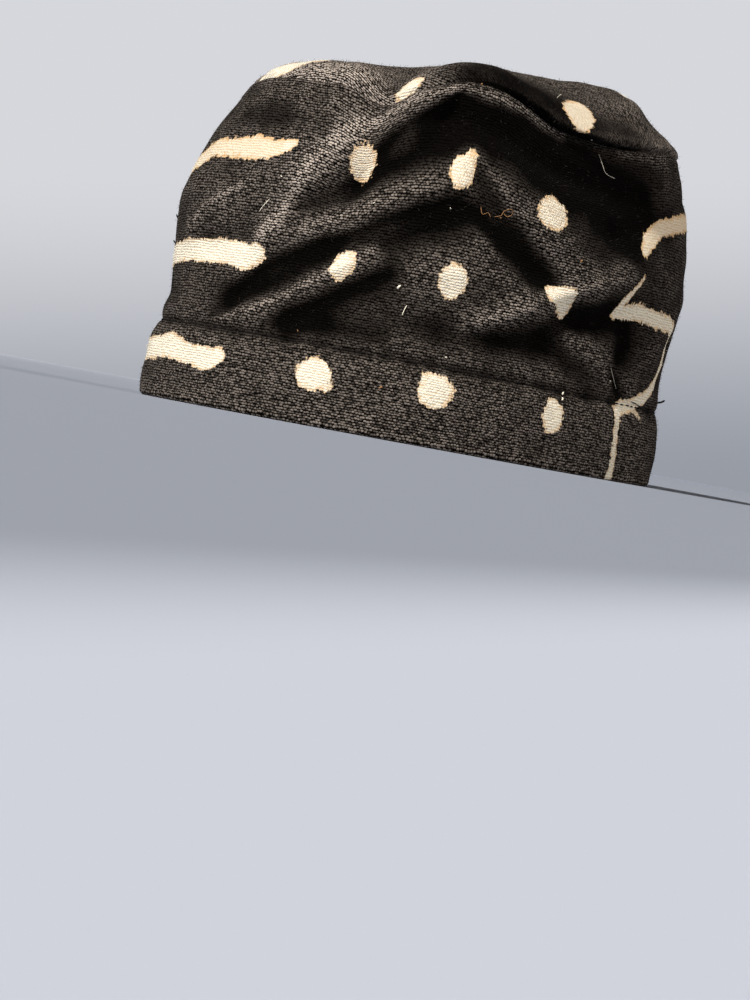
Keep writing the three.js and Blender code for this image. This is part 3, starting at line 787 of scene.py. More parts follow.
class Cloth:
    """The finished right side of a piece: a grid of points with their outward directions, the
    place of each row, and the depth inside the marks."""

    def __init__(self, rows, normals, places, marks):
        self.rows, self.normals, self.places = rows, normals, places
        self.marks = marks.reshape(rows.shape[:2])

    def points(self, line):
        """Points that lie on the cloth along a line of (round the cap, onward, lift)."""
        found = []
        for across, onward, lift in line:
            column = np.interp(across % GIRTH, ROUND, np.arange(COLUMNS + 1))
            row = np.interp(onward, self.places, np.arange(len(self.places)))
            point = self.between(self.rows, row, column)
            out = self.between(self.normals, row, column)
            found.append(point + out / np.linalg.norm(out) * lift)
        return np.array(found)

    def between(self, grid, row, column):
        """What a grid has at a place that lies between its points."""
        r, c = min(int(row), len(grid) - 2), int(column) % COLUMNS
        s, t, right = row - r, column - int(column), (c + 1) % COLUMNS
        near = grid[r, c] * (1 - t) + grid[r, right] * t
        far = grid[r + 1, c] * (1 - t) + grid[r + 1, right] * t
        return near * (1 - s) + far * s


def make_side_wall(right_side, reverse):
    """The wall with its turned-in hem and its seam allowance: one strip of cloth in section."""
    rows, places = wall_rows()
    from_rim = np.abs(places)
    body = smooth_step(places, EDGE_ROLL, 3 * EDGE_ROLL) * (1 - smooth_step(places, *CREASES_END))
    gathers = mound(from_rim, HEM_HEIGHT, GATHERS_REACH)
    gathers = gathers + smooth_step(places, WALL_HEIGHT - SEAM_GATHERS, WALL_HEIGHT)
    gathers = gathers - smooth_step(places, WALL_HEIGHT, WALL_HEIGHT + GATHERS_REACH)
    rough = RIPPLE * body[:, None] * unevenness(rows, RIPPLE_SPAN, 3.1)
    upright = rows * (1, 1, 0.35)
    rough += PUCKER * gathers[:, None] * body[:, None] * unevenness(upright, PUCKER_SPAN, 8.3)
    rough -= (STITCH_SINK * mound(from_rim, HEM_HEIGHT, STITCH_SINK_WIDTH))[:, None]
    rows, normals, inner = with_inner_face(rows, rough)
    count = len(rows)
    points = np.concatenate([rows, inner]).reshape(-1, 3)
    faces = [strip_faces(count, 0, False), strip_faces(count, count * COLUMNS, True)]
    last = (count - 1) * COLUMNS
    faces.append(edge_faces(0, count * COLUMNS))
    faces.append(edge_faces(count * COLUMNS + last, last))
    kinds = np.repeat([0, 1, 1, 1], [len(f) for f in faces])
    faces = np.concatenate(faces)
    piece = mesh_object("side_wall_cloth", points, faces, [right_side, reverse], kinds)
    across = np.tile(np.tile(ROUND[:-1], count), 2)
    onward = np.tile(np.repeat(places, COLUMNS), 2)
    marks, wear_light_and_shade = wall_marks(across, onward), wall_wear_light_and_shade(across, onward)
    wear_light_and_shade += relief_wear_and_shade(rows)
    add_cloth_places(piece, across, onward, marks, wear_light_and_shade)
    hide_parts("side_wall")
    dress(piece)
    return Cloth(rows, normals, places, marks[:count * COLUMNS])


def make_top_panel(right_side, reverse):
    """The puffed oval on top, with its allowance hanging inside the seam."""
    rows, lengths, middle = crown_rows()
    share = np.linspace(0, 1, len(rows))
    gathers = mound(share, PANEL_GATHERS_AT, PANEL_GATHERS_SPAN)
    body = smooth_step(share, *PANEL_ROUGH_FROM)
    rough = RIPPLE * body[:, None] * unevenness(rows, RIPPLE_SPAN, 5.9)
    rough += PANEL_PUCKER * gathers[:, None] * unevenness(rows, PUCKER_SPAN, 1.7)
    rough = rough * (1 - smooth_step(share, *PANEL_ROUGH_TO))[:, None]
    rows, normals, inner = with_inner_face(rows, rough)
    count = len(rows)
    poles = np.array([middle, middle - UP * CLOTH])
    points = np.concatenate([np.concatenate([rows, inner]).reshape(-1, 3), poles])
    quads = [strip_faces(count, 0, False), strip_faces(count, count * COLUMNS, True),
             edge_faces(0, count * COLUMNS)]
    last, pole = (count - 1) * COLUMNS, 2 * count * COLUMNS
    c = np.arange(COLUMNS)
    right = (c + 1) % COLUMNS
    caps = [np.stack([last + c, last + right, np.full(COLUMNS, pole)], -1),
            np.stack([last + count * COLUMNS + right, last + count * COLUMNS + c,
                      np.full(COLUMNS, pole + 1)], -1)]
    faces = np.concatenate(quads).tolist() + np.concatenate(caps).tolist()
    kinds = np.repeat([0, 1, 1, 0, 1], [len(f) for f in quads + caps])
    piece = mesh_object("top_panel_cloth", points, faces, [right_side, reverse], kinds)
    way = crown_face(ANGLES, 0.0)[:, :2]
    way = way / np.linalg.norm(way, axis=1, keepdims=True)
    flat = (way[None] * lengths[..., None]).reshape(-1, 2)
    flat = np.concatenate([flat, flat, np.zeros((len(poles), 2))])
    marks = crown_marks(flat[:, 0], flat[:, 1])
    wear_light_and_shade = np.concatenate([relief_wear_and_shade(rows), np.zeros(len(poles))])
    # patches of painted light and shade, carried with the wear
    for across, back, reach, amount in PANEL_WORN_LIT_AND_SHADED_PATCHES:
        away = (flat[:, 0] - across) ** 2 + (flat[:, 1] - back) ** 2
        wear_light_and_shade += amount * np.exp(-away / reach**2)
    add_cloth_places(piece, flat[:, 0], flat[:, 1], marks, wear_light_and_shade + PANEL_WORN)
    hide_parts("top_panel")
    dress(piece)
    return Cloth(rows, normals, share, marks[:count * COLUMNS])


class Value:
    """One output of a node, so that shader maths is written as Python expressions."""

    def __init__(self, sheet, socket):
        self.sheet, self.socket = sheet, socket

    def maths(self, operation, *values):
        return self.sheet.node("ShaderNodeMath", {"operation": operation}, *values)

    def __add__(self, other):
        return self.maths("ADD", self, other)

    def __sub__(self, other):
        return self.maths("SUBTRACT", self, other)

    def __rsub__(self, other):
        return self.maths("SUBTRACT", other, self)

    def __mul__(self, other):
        return self.maths("MULTIPLY", self, other)

    def __truediv__(self, other):
        return self.maths("DIVIDE", self, other)

    __radd__ = __add__
    __rmul__ = __mul__

    def floor(self):
        return self.maths("FLOOR", self)

    def larger(self, other):
        return self.maths("MAXIMUM", self, other)

    def smaller(self, other):
        return self.maths("MINIMUM", self, other)

    def step(self, start, end):
        """0 below start and 1 above end, with a smooth rise between them."""
        settings = {"interpolation_type": "SMOOTHSTEP"}
        return self.sheet.node("ShaderNodeMapRange", settings, self, start, end, 0.0, 1.0)


class NodeSheet:
    """A node tree that is filled by calls, for a finish or for Geometry Nodes."""

    def __init__(self, tree):
        self.tree = tree
        tree.nodes.clear()

    def node(self, kind, settings=None, *values, output=0, **named):
        """Adds a node: its settings first, then its sockets' values or links, in order or by
        name with _ for a space. Returns one output."""
        made = self.tree.nodes.new(kind)
        for name, value in (settings or {}).items():
            setattr(made, name, value)
        for socket, value in zip(made.inputs, values):
            self.plug(socket, value)
        for name, value in named.items():
            self.plug(made.inputs[name.replace("_", " ")], value)
        return Value(self, made.outputs[output]) if len(made.outputs) else made

    def plug(self, socket, value):
        if isinstance(value, Value):
            self.tree.links.new(value.socket, socket)
        elif value is not None:
            socket.default_value = value

    def blend(self, amount, first, second, how="MIX"):
        """A colour between two others."""
        made = self.tree.nodes.new("ShaderNodeMix")
        made.data_type, made.blend_type = "RGBA", how
        colours = [s for s in made.inputs if s.type == "RGBA"]
        self.plug(made.inputs[0], amount)
        self.plug(colours[0], first)
        self.plug(colours[1], second)
        return Value(self, [s for s in made.outputs if s.type == "RGBA"][0])

    def place(self, x, y, z=0.0):
        return self.node("ShaderNodeCombineXYZ", None, x, y, z)

    def parts(self, vector):
        """The three numbers of a place or a colour."""
        made = self.tree.nodes.new("ShaderNodeSeparateXYZ")
        self.plug(made.inputs[0], vector)
        return [Value(self, socket) for socket in made.outputs]

    def number(self, name):
        """A number that the mesh carries at each point."""
        return self.node("ShaderNodeAttribute", {"attribute_name": name}, output=2)

    def patches(self, places, spans, pattern, detail=0.0, roughness=0.5):
        """Smooth noise from 0 to 1. Its spans are round the cap and onward, and each number for
        the pattern gives another one."""
        x, y = [place / span for place, span in zip(places, spans)]
        return self.node("ShaderNodeTexNoise", {"noise_dimensions": "3D"}, Scale=1.0,
                         Vector=self.place(x, y, pattern), Detail=detail, Roughness=roughness)


def new_material(name):
    """A material, and the sheet that its nodes are made on."""
    material = bpy.data.materials.new(name)
    material.use_nodes = True
    return material, NodeSheet(material.node_tree)


# The weave: threads that run round the cap, and show between the upright ones as short floats
WEFT_PITCH = 0.82
FLOAT_PITCH = 1.0
THREAD_RISE = 0.34
WEFT_SWAY = 1.3  # how many rows the threads sway up and down
FLOAT_WANDER = 1.4  # how far the floats wander along their row, in floats
FLOAT_SHIFT = 0.5  # how much of a float each row starts further on
FLOAT_STRAY = (0.9, 0.8)  # how much of its half length and half height a float strays
FLOAT_ROUND = (0.42, 0.9)  # how far a float falls off towards its ends and its sides

# Spans of the cloth's chance patterns, round the cap and onward
SWAY_SPANS = (11.0, 5.0)
WANDER_SPANS = (6.0, 14.0)
FIBRE_SPANS = (0.5, 0.24)
WEAR_SPANS = (14.0, 10.0)
TEETH_SPANS = (0.7, 2.6)
STEP_SPANS = (4.0, 1.0)
WAVER_SPANS = (3.5, 3.5)
SOAK_SPANS = (2.6, 2.2)

# How worn the cloth is where its painted shade gives way from black to the dye's brown, where the
# tops of its threads turn grey with wear and a painted highlight, and where they are rubbed pale
# and lit
DYE_SHADED = (-2.1, 0.5)
DYE_WORN_AND_LIT = (-0.8, 2.0)
DYE_RUBBED_AND_LIT = (1.5, 4.0)

# Heights of the threads between which those colours come in: the gaps between the threads are
# painted dark as shade, and their tops pale with wear and a painted highlight
GAP_SHADE_TO_THREAD = (0.08, 0.44)
WORN_LIT_TOPS = (0.27, 0.8)
RUBBED_LIT_TOPS = (0.2, 0.7)
CREAM_GAP_SHADE_TO_THREAD = (-0.1, 0.34)

MARK_EDGE = (-0.2, 0.25)  # depths inside a mark between which the dye stops
MARK_RIM = (-0.3, 1.4)  # depths between which the tan rim turns cream
# The marks are painted browner here partly as soil and partly as painted shade, where less light
# falls
SHADED_SOILED_HEIGHTS = (52.0, 100.0)  # where the marks turn browner: up the wall,
SHADED_SOILED_ROUND = (104.0, 150.0)  # round it towards the left,
SHADED_SOILED_ON_PANEL = (30.0, 60.0)  # and on the panel towards its left

# The gap colours here and below are painted shade between the threads
INK_GAP_SHADE = (0.0012, 0.0009, 0.0007, 1)
# Painted shade for hollows and dark folds, the thread's own colour, then tops paler with wear and
# painted highlight
INK_SHADED = (0.0030, 0.0024, 0.0020, 1)
INK_THREAD = (0.030, 0.0242, 0.0200, 1)
INK_WORN_AND_LIT = (0.225, 0.190, 0.162, 1)
INK_RUBBED_AND_LIT = (0.46, 0.385, 0.325, 1)
CREAM = (0.80, 0.735, 0.60, 1)
CREAM_GAP_SHADE = (0.53, 0.38, 0.21, 1)
TAN_RIM = (0.60, 0.35, 0.14, 1)
FUZZ_DARK = (0.045, 0.037, 0.031, 1)
FUZZ_PALE = (0.80, 0.72, 0.56, 1)
REVERSE_THREAD = (0.075, 0.058, 0.045, 1)
REVERSE_GAP_SHADE = (0.010, 0.008, 0.007, 1)
BLACK_THREAD = (0.006, 0.005, 0.005, 1)
CREAM_LINT = (0.80, 0.74, 0.60, 1)
TAN_LINT = (0.32, 0.17, 0.075, 1)
PANEL_SOILED_AND_SHADED = 0.18  # how much browner the panel's marks are towards its left, as soil and painted shade


def weave(sheet):
    """Places on the cloth in millimetres, the height of its threads from 0 to 1, and each
    float's own chance value."""
    uv = sheet.node("ShaderNodeUVMap", {"uv_map": "cloth"})
    u, v, _ = sheet.parts(uv)
    across, onward = u * GIRTH, v * GIRTH
    places = (across, onward)
    sway = sheet.patches(places, SWAY_SPANS, 2.0, detail=1.0)
    wander = sheet.patches(places, WANDER_SPANS, 9.0, detail=1.0)
    row = onward / WEFT_PITCH + sway * WEFT_SWAY
    row_number = row.floor()
    beat = across / FLOAT_PITCH + wander * FLOAT_WANDER + row_number * FLOAT_SHIFT
    beat_number = beat.floor()
    chance = sheet.node("ShaderNodeTexWhiteNoise", {"noise_dimensions": "3D"}, output=1,
                        Vector=sheet.place(beat_number, row_number, 0.0))
    own, aside, above = sheet.parts(chance)
    x = (beat - beat_number) * 2.0 - 1.0 + (aside - 0.5) * FLOAT_STRAY[0]
    y = (row - row_number) * 2.0 - 1.0 + (above - 0.5) * FLOAT_STRAY[1]
    swell = (1.0 - x * x * FLOAT_ROUND[0] - y * y * FLOAT_ROUND[1]).larger(0.0)
    fibres = sheet.patches(places, FIBRE_SPANS, 7.0, detail=3.0, roughness=0.7)
    height = swell * (0.22 + own * 0.34 + fibres * 0.7)
    return places, height, own


def finish_cloth(sheet, height, colour):
    """Joins the colour and the weave's relief to the shader."""
    raised = sheet.node("ShaderNodeBump", None, Strength=0.9, Distance=THREAD_RISE * MM,
                        Height=height)
    shader = sheet.node("ShaderNodeBsdfPrincipled", None, Base_Color=colour, Normal=raised,
                        Roughness=1.0 - height * 0.2)
    principled = shader.socket.node
    principled.inputs["Specular IOR Level"].default_value = 0.012
    principled.inputs["Sheen Weight"].default_value = 0.006
    principled.inputs["Sheen Roughness"].default_value = 0.4
    principled.inputs["Sheen Tint"].default_value = (0.95, 0.86, 0.78, 1)
    sheet.node("ShaderNodeOutputMaterial", None, shader)


def mud_dyed_cotton(name, soiled_and_shaded_left):
    """The right side: dark dyed threads round cream marks with toothed tan edges. The marks are
    browner higher up and further round to the left, and on the panel towards its left, partly
    with soil and partly as painted shade."""
    material, sheet = new_material(name)
    places, height, own = weave(sheet)
    across, onward = places
    wear_light_and_shade = sheet.number("wear_light_and_shade")
    patchy = sheet.patches(places, WEAR_SPANS, 1.0, detail=4.0, roughness=0.62) - 0.5
    # Low wear is painted shade, and high wear paints the thread tops paler as highlight with wear
    unshaded = (wear_light_and_shade + patchy * 2.2).step(*DYE_SHADED)
    worn_and_lit = (wear_light_and_shade + patchy * 2.4).step(*DYE_WORN_AND_LIT)
    rubbed_and_lit = (wear_light_and_shade + patchy * 1.5).step(*DYE_RUBBED_AND_LIT)
    lit = height * (0.68 + own * 0.4)
    ink = sheet.blend(unshaded, INK_SHADED, INK_THREAD)
    # painted shade in the gaps between the threads
    ink = sheet.blend(lit.step(*GAP_SHADE_TO_THREAD), INK_GAP_SHADE, ink)
    ink = sheet.blend(lit.step(*WORN_LIT_TOPS) * (0.06 + worn_and_lit * 0.82) * unshaded, ink, INK_WORN_AND_LIT)
    ink = sheet.blend(lit.step(*RUBBED_LIT_TOPS) * rubbed_and_lit, ink, INK_RUBBED_AND_LIT)
    depth = sheet.number("mark_depth")
    teeth = sheet.patches(places, TEETH_SPANS, 5.0) - 0.5
    steps = sheet.patches(places, STEP_SPANS, 6.0) - 0.5
    waver = sheet.patches(places, WAVER_SPANS, 11.0) - 0.5
    ragged = depth + teeth * 1.5 + steps * 1.3 + waver * 1.1 + (own - 0.5) * 0.35
    # the cream cloth is painted darker and browner in its gaps, as shade
    cotton = sheet.blend((height + own * 0.05).step(*CREAM_GAP_SHADE_TO_THREAD), CREAM_GAP_SHADE, CREAM)
    soak = sheet.patches(places, SOAK_SPANS, 8.0, detail=2.0) - 0.5
    rim = 1.0 - (depth + teeth * 1.2 + soak * 3.6).step(*MARK_RIM)
    # marks browned with soil and painted shade
    soiled_and_shaded = onward.step(*SHADED_SOILED_HEIGHTS) * (0.18 + across.step(*SHADED_SOILED_ROUND) * 0.3)
    soiled_and_shaded = soiled_and_shaded + across.step(*SHADED_SOILED_ON_PANEL) * soiled_and_shaded_left
    cotton = sheet.blend((rim * 0.6 + soiled_and_shaded).smaller(0.8), cotton, TAN_RIM)
    finish_cloth(sheet, height, sheet.blend(ragged.step(*MARK_EDGE), ink, cotton))
    return material


def reverse_cotton(name):
    """The inner side, where the dye has soaked through unevenly."""
    material, sheet = new_material(name)
    places, height, _ = weave(sheet)
    soaked = sheet.patches(places, WEAR_SPANS, 3.0, detail=3.0)
    # the inner side's gaps painted dark as shade
    dull = sheet.blend(height.step(0.05, 0.9), REVERSE_GAP_SHADE, REVERSE_THREAD)
    finish_cloth(sheet, height, sheet.blend(soaked.step(0.35, 0.75) * 0.6, dull, INK_THREAD))
    return material


def finish_fibre(sheet, colour):
    """Joins a colour to the dull shader of loose fibres and threads."""
    shader = sheet.node("ShaderNodeBsdfPrincipled", None, Base_Color=colour, Roughness=0.9)
    shader.socket.node.inputs["Specular IOR Level"].default_value = 0.1
    sheet.node("ShaderNodeOutputMaterial", None, shader)


def plain_fibre(name, colour):
    material, sheet = new_material(name)
    finish_fibre(sheet, colour)
    return material


def fuzz_cotton(name):
    """Loose hairs: pale over the marks, brown elsewhere."""
    material, sheet = new_material(name)
    inside = sheet.number("mark_depth").step(-0.3, 0.3)
    finish_fibre(sheet, sheet.blend(inside, FUZZ_DARK, FUZZ_PALE))
    return material


def growing_tree(name, numbers):
    """A Geometry Nodes tree with one shape and some numbers going in and one shape coming out."""
    tree = bpy.data.node_groups.new(name, "GeometryNodeTree")
    tree.interface.new_socket("Base", in_out="INPUT", socket_type="NodeSocketGeometry")
    for number in numbers:
        tree.interface.new_socket(number, in_out="INPUT", socket_type="NodeSocketFloat")
    tree.interface.new_socket("Grown", in_out="OUTPUT", socket_type="NodeSocketGeometry")
    sheet = NodeSheet(tree)
    given = tree.nodes.new("NodeGroupInput")
    return sheet, [Value(sheet, socket) for socket in given.outputs][:len(numbers) + 1]


def finish_growth(sheet, finish, places, shape, turned, size):
    """Ends a tree with a shape at each place, made real and given its material."""
    stood = sheet.node("GeometryNodeInstanceOnPoints", None, Points=places, Instance=shape,
                       Rotation=turned, Scale=size)
    real = sheet.node("GeometryNodeRealizeInstances", None, stood)
    finished = sheet.node("GeometryNodeSetMaterial", None, real, Material=finish)
    sheet.node("NodeGroupOutput", None, finished)
    return sheet.tree


def hair_tree(finish):
    """Short bent hairs scattered over a surface, each leaning its own way."""
    numbers = ["Hairs to a square metre", "Thickness"]
    sheet, (base, count, thickness) = growing_tree("hairs", numbers)
    spread = sheet.node("GeometryNodeDistributePointsOnFaces", None, Mesh=base, Density=count,
                        Seed=4)
    aligned = Value(sheet, spread.socket.node.outputs["Rotation"])
    start, middle, end = [tuple(part * MM for part in place) for place in HAIR_BEND]
    bend = sheet.node("GeometryNodeCurveQuadraticBezier", None, Resolution=3, Start=start,
                      Middle=middle, End=end)
    section = sheet.node("GeometryNodeCurvePrimitiveCircle", None, Resolution=3, Radius=thickness)
    hair = sheet.node("GeometryNodeCurveToMesh", None, Curve=bend, Profile_Curve=section,
                      Fill_Caps=True)
    across, along_it, round_it = HAIR_LEANS
    turn = sheet.node("FunctionNodeRandomValue", {"data_type": "FLOAT_VECTOR"},
                      (-across, -along_it, 0.0), (across, along_it, round_it), Seed=7)
    lean = sheet.node("FunctionNodeEulerToRotation", None, turn)
    turned = sheet.node("FunctionNodeRotateRotation", {"rotation_space": "LOCAL"}, aligned, lean)
    size = sheet.node("FunctionNodeRandomValue", {"data_type": "FLOAT"}, None, None, *HAIR_SIZES,
                      Seed=11, output=1)
    return finish_growth(sheet, finish, spread, hair, turned, size)


def stitch_tree(finish):
    """Stitches laid end to end along a line, each on the side that the line's out points to."""
    numbers = ["Pitch", "Length", "Thickness"]
    sheet, (base, pitch, length, thickness) = growing_tree("stitches", numbers)
    line = sheet.node("GeometryNodeMeshToCurve", None, base)
    even = sheet.node("GeometryNodeResampleCurve", {"mode": "LENGTH"}, Curve=line, Length=pitch)
    stitch = sheet.node("GeometryNodeMeshUVSphere", None, Segments=8, Rings=5, Radius=0.5)
    onward = sheet.node("GeometryNodeInputTangent")
    out = sheet.node("GeometryNodeInputNamedAttribute", {"data_type": "FLOAT_VECTOR"}, "out")
    first = sheet.node("FunctionNodeAlignRotationToVector", {"axis": "X"}, Vector=onward)
    second = sheet.node("FunctionNodeAlignRotationToVector", {"axis": "Z", "pivot_axis": "X"},
                        Rotation=first, Vector=out)
    size = sheet.place(length, thickness, thickness)
    return finish_growth(sheet, finish, even, stitch, second, size)


def grow(piece, tree, numbers):
    """Puts what a tree makes of a piece's mesh in that mesh's place."""
    modifier = piece.modifiers.new("grow", "NODES")
    modifier.node_group = tree
    sockets = [item for item in tree.interface.items_tree if item.in_out == "INPUT"][1:]
    for socket, number in zip(sockets, numbers):
        modifier[socket.identifier] = float(number)
    ready = piece.evaluated_get(bpy.context.evaluated_depsgraph_get())
    grown = bpy.data.meshes.new_from_object(ready)
    piece.modifiers.remove(modifier)
    piece.data = grown
    return piece


def make_fuzz(name, cloth, between_rows, tree):
    """Loose hairs on the part of a cloth that lies between two of its rows."""
    first_row, last_row = between_rows
    rows = cloth.rows[first_row:last_row]
    piece = mesh_object(name, rows.reshape(-1, 3), strip_faces(len(rows), 0, False), [])
    marks = piece.data.attributes.new("mark_depth", "FLOAT", "POINT")
    marks.data.foreach_set("value", cloth.marks[first_row:last_row].ravel().astype(np.float32))
    grow(piece, tree, [HAIRS * SQUARE_METRE, HAIR_RADIUS * MM])
    dress(piece)


def make_hem_stitches(cloth, tree):
    """The thread that holds the hem, seen as short stitches on both faces."""
    def ring(onward, lift):
        return cloth.points([(across, onward, lift) for across in ROUND[:-1]])

    outer, inner = HEM_HEIGHT, HEM_STITCH_IN - HEM_HEIGHT
    lines = [ring(outer, 0.1), ring(inner, 0.05)]
    outs = [ring(onward, 1.0) - ring(onward, 0.0) for onward in (outer, inner)]
    edges = []
    for start in (0, COLUMNS):
        edges += [(start + c, start + (c + 1) % COLUMNS) for c in range(COLUMNS)]
    piece = mesh_object("hem_stitches", np.concatenate(lines), [], [], edges=edges)
    out = piece.data.attributes.new("out", "FLOAT_VECTOR", "POINT")
    out.data.foreach_set("vector", np.concatenate(outs).ravel().astype(np.float32))
    grow(piece, tree, [STITCH_PITCH * MM, STITCH_LENGTH * MM, STITCH_THICKNESS * MM])
    dress(piece)


def curved(line, steps=5):
    """A smooth line through points."""
    rows = [{"at": k, "x": p[0], "y": p[1], "z": p[2]} for k, p in enumerate(line)]
    at = np.linspace(0, len(line) - 1, (len(line) - 1) * steps + 1)
    return np.stack([along(rows, "at", axis, at) for axis in "xyz"], -1)


THREAD_END = 0.45  # a thread's thickness at its ends, as a share of its own
THREAD_ASIDE = (0.31, 0.17, 0.93)  # a direction that no thread runs in


def tube(line, radius, sides=6):
    """Points and faces of a thin thread along a line, closed at both ends."""
    onward = np.gradient(line, axis=0)
    onward /= np.linalg.norm(onward, axis=1, keepdims=True)
    aside = np.cross(onward, THREAD_ASIDE)
    aside /= np.linalg.norm(aside, axis=1, keepdims=True)
    other = np.cross(onward, aside)
    thin = np.ones(len(line))
    thin[[0, -1]] = THREAD_END
    turns = 2 * math.pi * np.arange(sides)[:, None] / sides
    reach = np.cos(turns) * aside[:, None] + np.sin(turns) * other[:, None]
    points = (line[:, None] + radius * thin[:, None, None] * reach).reshape(-1, 3)
    faces = []
    for low in range(0, (len(line) - 1) * sides, sides):
        high = low + sides
        for k, next_k in zip(range(sides), [*range(1, sides), 0]):
            faces.append((low + k, low + next_k, high + next_k, high + k))
    faces.append(tuple(range(sides))[::-1])
    faces.append(tuple((len(line) - 1) * sides + k for k in range(sides)))
    return points, faces


def make_loose_threads(name, cloth, threads, finishes):
    """Lint and loose threads lying on a cloth: which finish, radius and line of each."""
    points, faces, kinds = [], [], []
    for finish, radius, line in threads:
        made, sides = tube(curved(cloth.points(line)), radius)
        start = sum(map(len, points))
        faces += [tuple(start + k for k in side) for side in sides]
        kinds += [finish] * len(sides)
        points.append(made)
    dress(mesh_object(name, np.concatenate(points), faces, finishes, kinds))


def specks(places, onward_per_mm=1.0):
    """Little curls of lint at places: finish, size, round the cap, onward."""
    curls = []
    for finish, size, across, onward in places:
        turn = noise.noise(Vector((across, onward, 0.5))) * CURL_TURN
        dx, dy = size * CURL_REACH * math.cos(turn), size * CURL_REACH * math.sin(turn)
        curls.append((finish, size * CURL_RADIUS, [
            (across - dx, onward - dy * onward_per_mm, CURL_LIFT),
            (across + dy * CURL_SWING, onward - dx * CURL_SWING * onward_per_mm, size),
            (across + dx, onward + dy * onward_per_mm, CURL_LIFT),
        ]))
    return curls


def stage_shader(sheet, colour, glows):
    """Joins a colour to a shader that glows with it or only takes the light."""
    black = (0.0, 0.0, 0.0, 1)
    shader = sheet.node("ShaderNodeBsdfPrincipled", None, Roughness=1.0,
                        Base_Color=black if glows else colour,
                        Emission_Color=colour if glows else black, Emission_Strength=1.0)
    shader.socket.node.inputs["Specular IOR Level"].default_value = 0.0
    sheet.node("ShaderNodeOutputMaterial", None, shader)


def stage_places(sheet):
    """Metres to the camera's right and towards the camera, and the height up the tilted picture."""
    x, y, z = sheet.parts(sheet.node("ShaderNodeTexCoord", None, output=3))
    side = x * math.cos(CAMERA_TURN) + y * math.sin(CAMERA_TURN)
    near = x * math.sin(CAMERA_TURN) - y * math.cos(CAMERA_TURN)
    return side, near, z * math.cos(CAMERA_ROLL) - side * math.sin(CAMERA_ROLL)


def painted_light_floor(name):
    """A floor that is grey behind the cap and pale in front of it, as painted light."""
    material, sheet = new_material(name)
    side, near, height = stage_places(sheet)
    far = sheet.blend(height.step(*BACKDROP_RISE), BACKDROP_LOW, BACKDROP_HIGH)
    lit = sheet.blend((near + side * FLOOR_PALE_LEAN).step(*FLOOR_PALE_FROM), far, FLOOR_PALE)
    stage_shader(sheet, sheet.blend(1.0, lit, FLOOR_BASE, "MULTIPLY"), False)
    return material


def lit_backdrop(name):
    """A backdrop that glows, grey at the floor and paler higher up."""
    material, sheet = new_material(name)
    *_, height = stage_places(sheet)
    stage_shader(sheet, sheet.blend(height.step(*BACKDROP_RISE), BACKDROP_LOW, BACKDROP_HIGH), True)
    return material


FLOOR_REACH = 6000.0
BACKDROP_HEIGHT = 1300.0
BACKDROP_RISE = (-0.15, 0.62)  # heights in metres between which the backdrop turns paler
BACKDROP_LOW = (0.306, 0.326, 0.370, 1)
BACKDROP_HIGH = (0.672, 0.680, 0.716, 1)
# The floor's grey far part and pale front are painted light, not its own colour
FLOOR_PALE = (0.631, 0.651, 0.716, 1)
FLOOR_PALE_FROM = (0.875, 0.935)  # metres in front of the cap between which the floor turns pale
FLOOR_PALE_LEAN = 2.85  # how much sooner it does so for each metre to the right
FLOOR_BASE = (0.924, 0.933, 0.964, 1)  # the floor's own colour against how it looks in this light
STAGE_TURNS = 96


def make_floor():
    """A round floor, and a low backdrop that stands round it far away."""
    turns = [2 * math.pi * k / STAGE_TURNS for k in range(STAGE_TURNS)]
    ring = [(FLOOR_REACH * math.cos(turn), FLOOR_REACH * math.sin(turn)) for turn in turns]
    floor = mesh_object("floor", [(x, y, 0.0) for x, y in ring], [tuple(range(STAGE_TURNS))],
                        [painted_light_floor("painted_light_floor")])
    low, high = [(x, y, 0.0) for x, y in ring], [(x, y, BACKDROP_HEIGHT) for x, y in ring]
    onward = [(k + 1) % STAGE_TURNS for k in range(STAGE_TURNS)]
    faces = [(k + STAGE_TURNS, next_k + STAGE_TURNS, next_k, k) for k, next_k in enumerate(onward)]
    backdrop = mesh_object("backdrop", low + high, faces, [lit_backdrop("lit_backdrop")])


# The photograph's camera: its turn round the cap, its height above the horizon, its roll, how far
# away it stands, its focal length, and the place of the rim's middle, in pixels of its own frame
FRAME_WIDTH, FRAME_HEIGHT = 750, 1000
CAMERA_TURN = math.radians(34)
CAMERA_RISE = math.radians(0.3)
CAMERA_ROLL = math.radians(10.5)
CAMERA_AWAY = 1000.0
FOCAL_PIXELS = 2980.0
RIM_PIXEL = (398, 441)

SURROUND = (0.82, 0.88, 1.0, 1)  # the dim light from all sides
SURROUND_POWER = 0.05


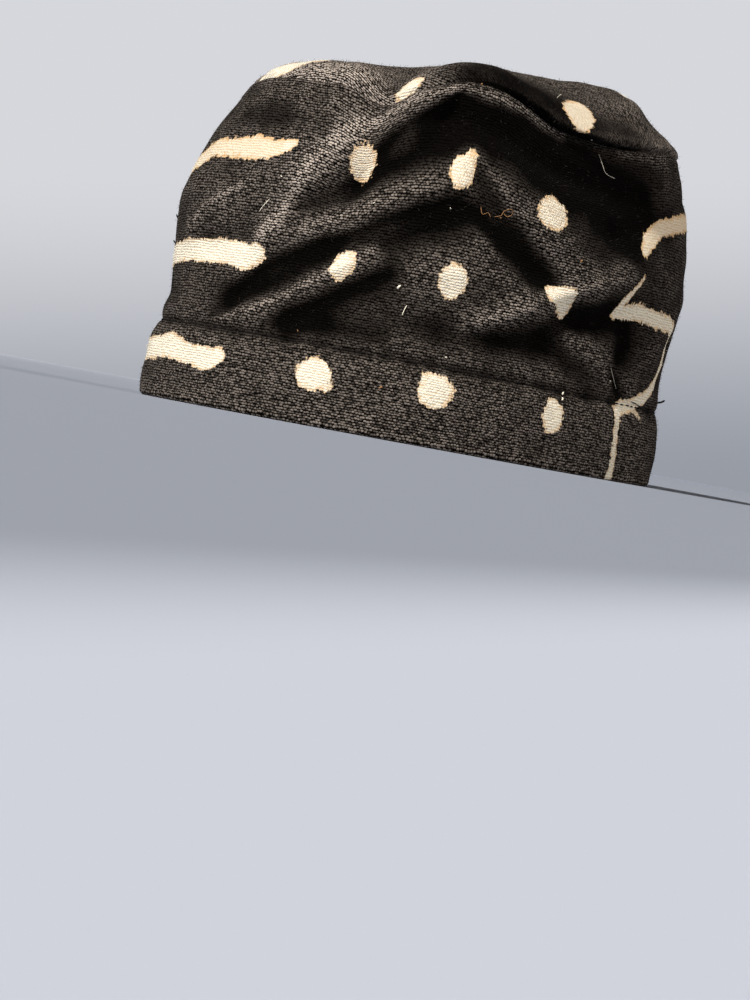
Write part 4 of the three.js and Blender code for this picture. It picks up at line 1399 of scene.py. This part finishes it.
def make_camera():
    """Sets the camera, and returns the level ways to its right and towards it."""
    data = bpy.data.cameras.new("camera")
    camera = bpy.data.objects.new("camera", data)
    bpy.context.scene.collection.objects.link(camera)
    bpy.context.scene.camera = camera
    data.sensor_fit = "VERTICAL"
    data.sensor_height = 36.0
    data.lens = FOCAL_PIXELS * data.sensor_height / FRAME_HEIGHT
    data.clip_start, data.clip_end = 0.005, 20.0
    towards = Vector((math.sin(CAMERA_TURN), -math.cos(CAMERA_TURN), 0))
    back = towards * math.cos(CAMERA_RISE) + Vector((0, 0, math.sin(CAMERA_RISE)))
    right = Vector((math.cos(CAMERA_TURN), math.sin(CAMERA_TURN), 0))
    up = back.cross(right)
    image_right = math.cos(CAMERA_ROLL) * right + math.sin(CAMERA_ROLL) * up
    image_up = -math.sin(CAMERA_ROLL) * right + math.cos(CAMERA_ROLL) * up
    turned = Matrix((image_right, image_up, back)).transposed()
    aside = (RIM_PIXEL[0] - FRAME_WIDTH / 2) / FOCAL_PIXELS
    above = (FRAME_HEIGHT / 2 - RIM_PIXEL[1]) / FOCAL_PIXELS
    aim = Matrix.Rotation(math.atan(aside), 3, "Y") @ Matrix.Rotation(-math.atan(above), 3, "X")
    place = (turned @ aim).to_4x4()
    place.translation = back * CAMERA_AWAY * MM
    camera.matrix_world = place
    return right, towards


def make_lights(right, towards):
    """Soft daylight from the upper left, a weak fill from the right, and a dim surround."""
    high = Vector((0, 0, 1))
    daylight = [
        ("key", high * 0.58 - right * 0.50 + towards * 0.74, 5.1, 12.0, (1.0, 0.985, 0.955)),
        ("fill", high * 0.15 + right * 0.85 + towards * 0.30, 3.0, 45.0, (1.0, 0.94, 0.86)),
    ]
    for name, source, power, spread, colour in daylight:
        data = bpy.data.lights.new(name, "SUN")
        data.energy, data.angle, data.color = power, math.radians(spread), colour
        light = bpy.data.objects.new(name, data)
        bpy.context.scene.collection.objects.link(light)
        light.rotation_euler = source.to_track_quat("Z", "Y").to_euler()
    world = bpy.data.worlds.new("surround")
    bpy.context.scene.world = world
    world.use_nodes = True
    sheet = NodeSheet(world.node_tree)
    light = sheet.node("ShaderNodeBackground", None, SURROUND, SURROUND_POWER)
    sheet.node("ShaderNodeOutputWorld", None, light)
    bpy.context.scene.view_settings.view_transform = "Standard"


inside_out = reverse_cotton("cotton_reverse")
wall = make_side_wall(mud_dyed_cotton("mud_dyed_cotton", 0.0), inside_out)
panel = make_top_panel(mud_dyed_cotton("mud_dyed_cotton_top", PANEL_SOILED_AND_SHADED), inside_out)
hairs = hair_tree(fuzz_cotton("cotton_fuzz"))
make_fuzz("side_wall_fuzz", wall, FUZZ_WALL_ROWS, hairs)
make_fuzz("top_panel_fuzz", panel, FUZZ_PANEL_ROWS, hairs)
black = plain_fibre("black_thread", BLACK_THREAD)
make_hem_stitches(wall, stitch_tree(black))
lint = [plain_fibre("cream_lint", CREAM_LINT), plain_fibre("tan_lint", TAN_LINT), black]
wall_lint = WALL_THREADS + specks(WALL_SPECKS)
make_loose_threads("side_wall_lint", wall, wall_lint, lint)
panel_lint = PANEL_THREADS + specks(PANEL_SPECKS, PANEL_PER_MM)
make_loose_threads("top_panel_lint", panel, panel_lint, lint)
make_floor()
make_lights(*make_camera())
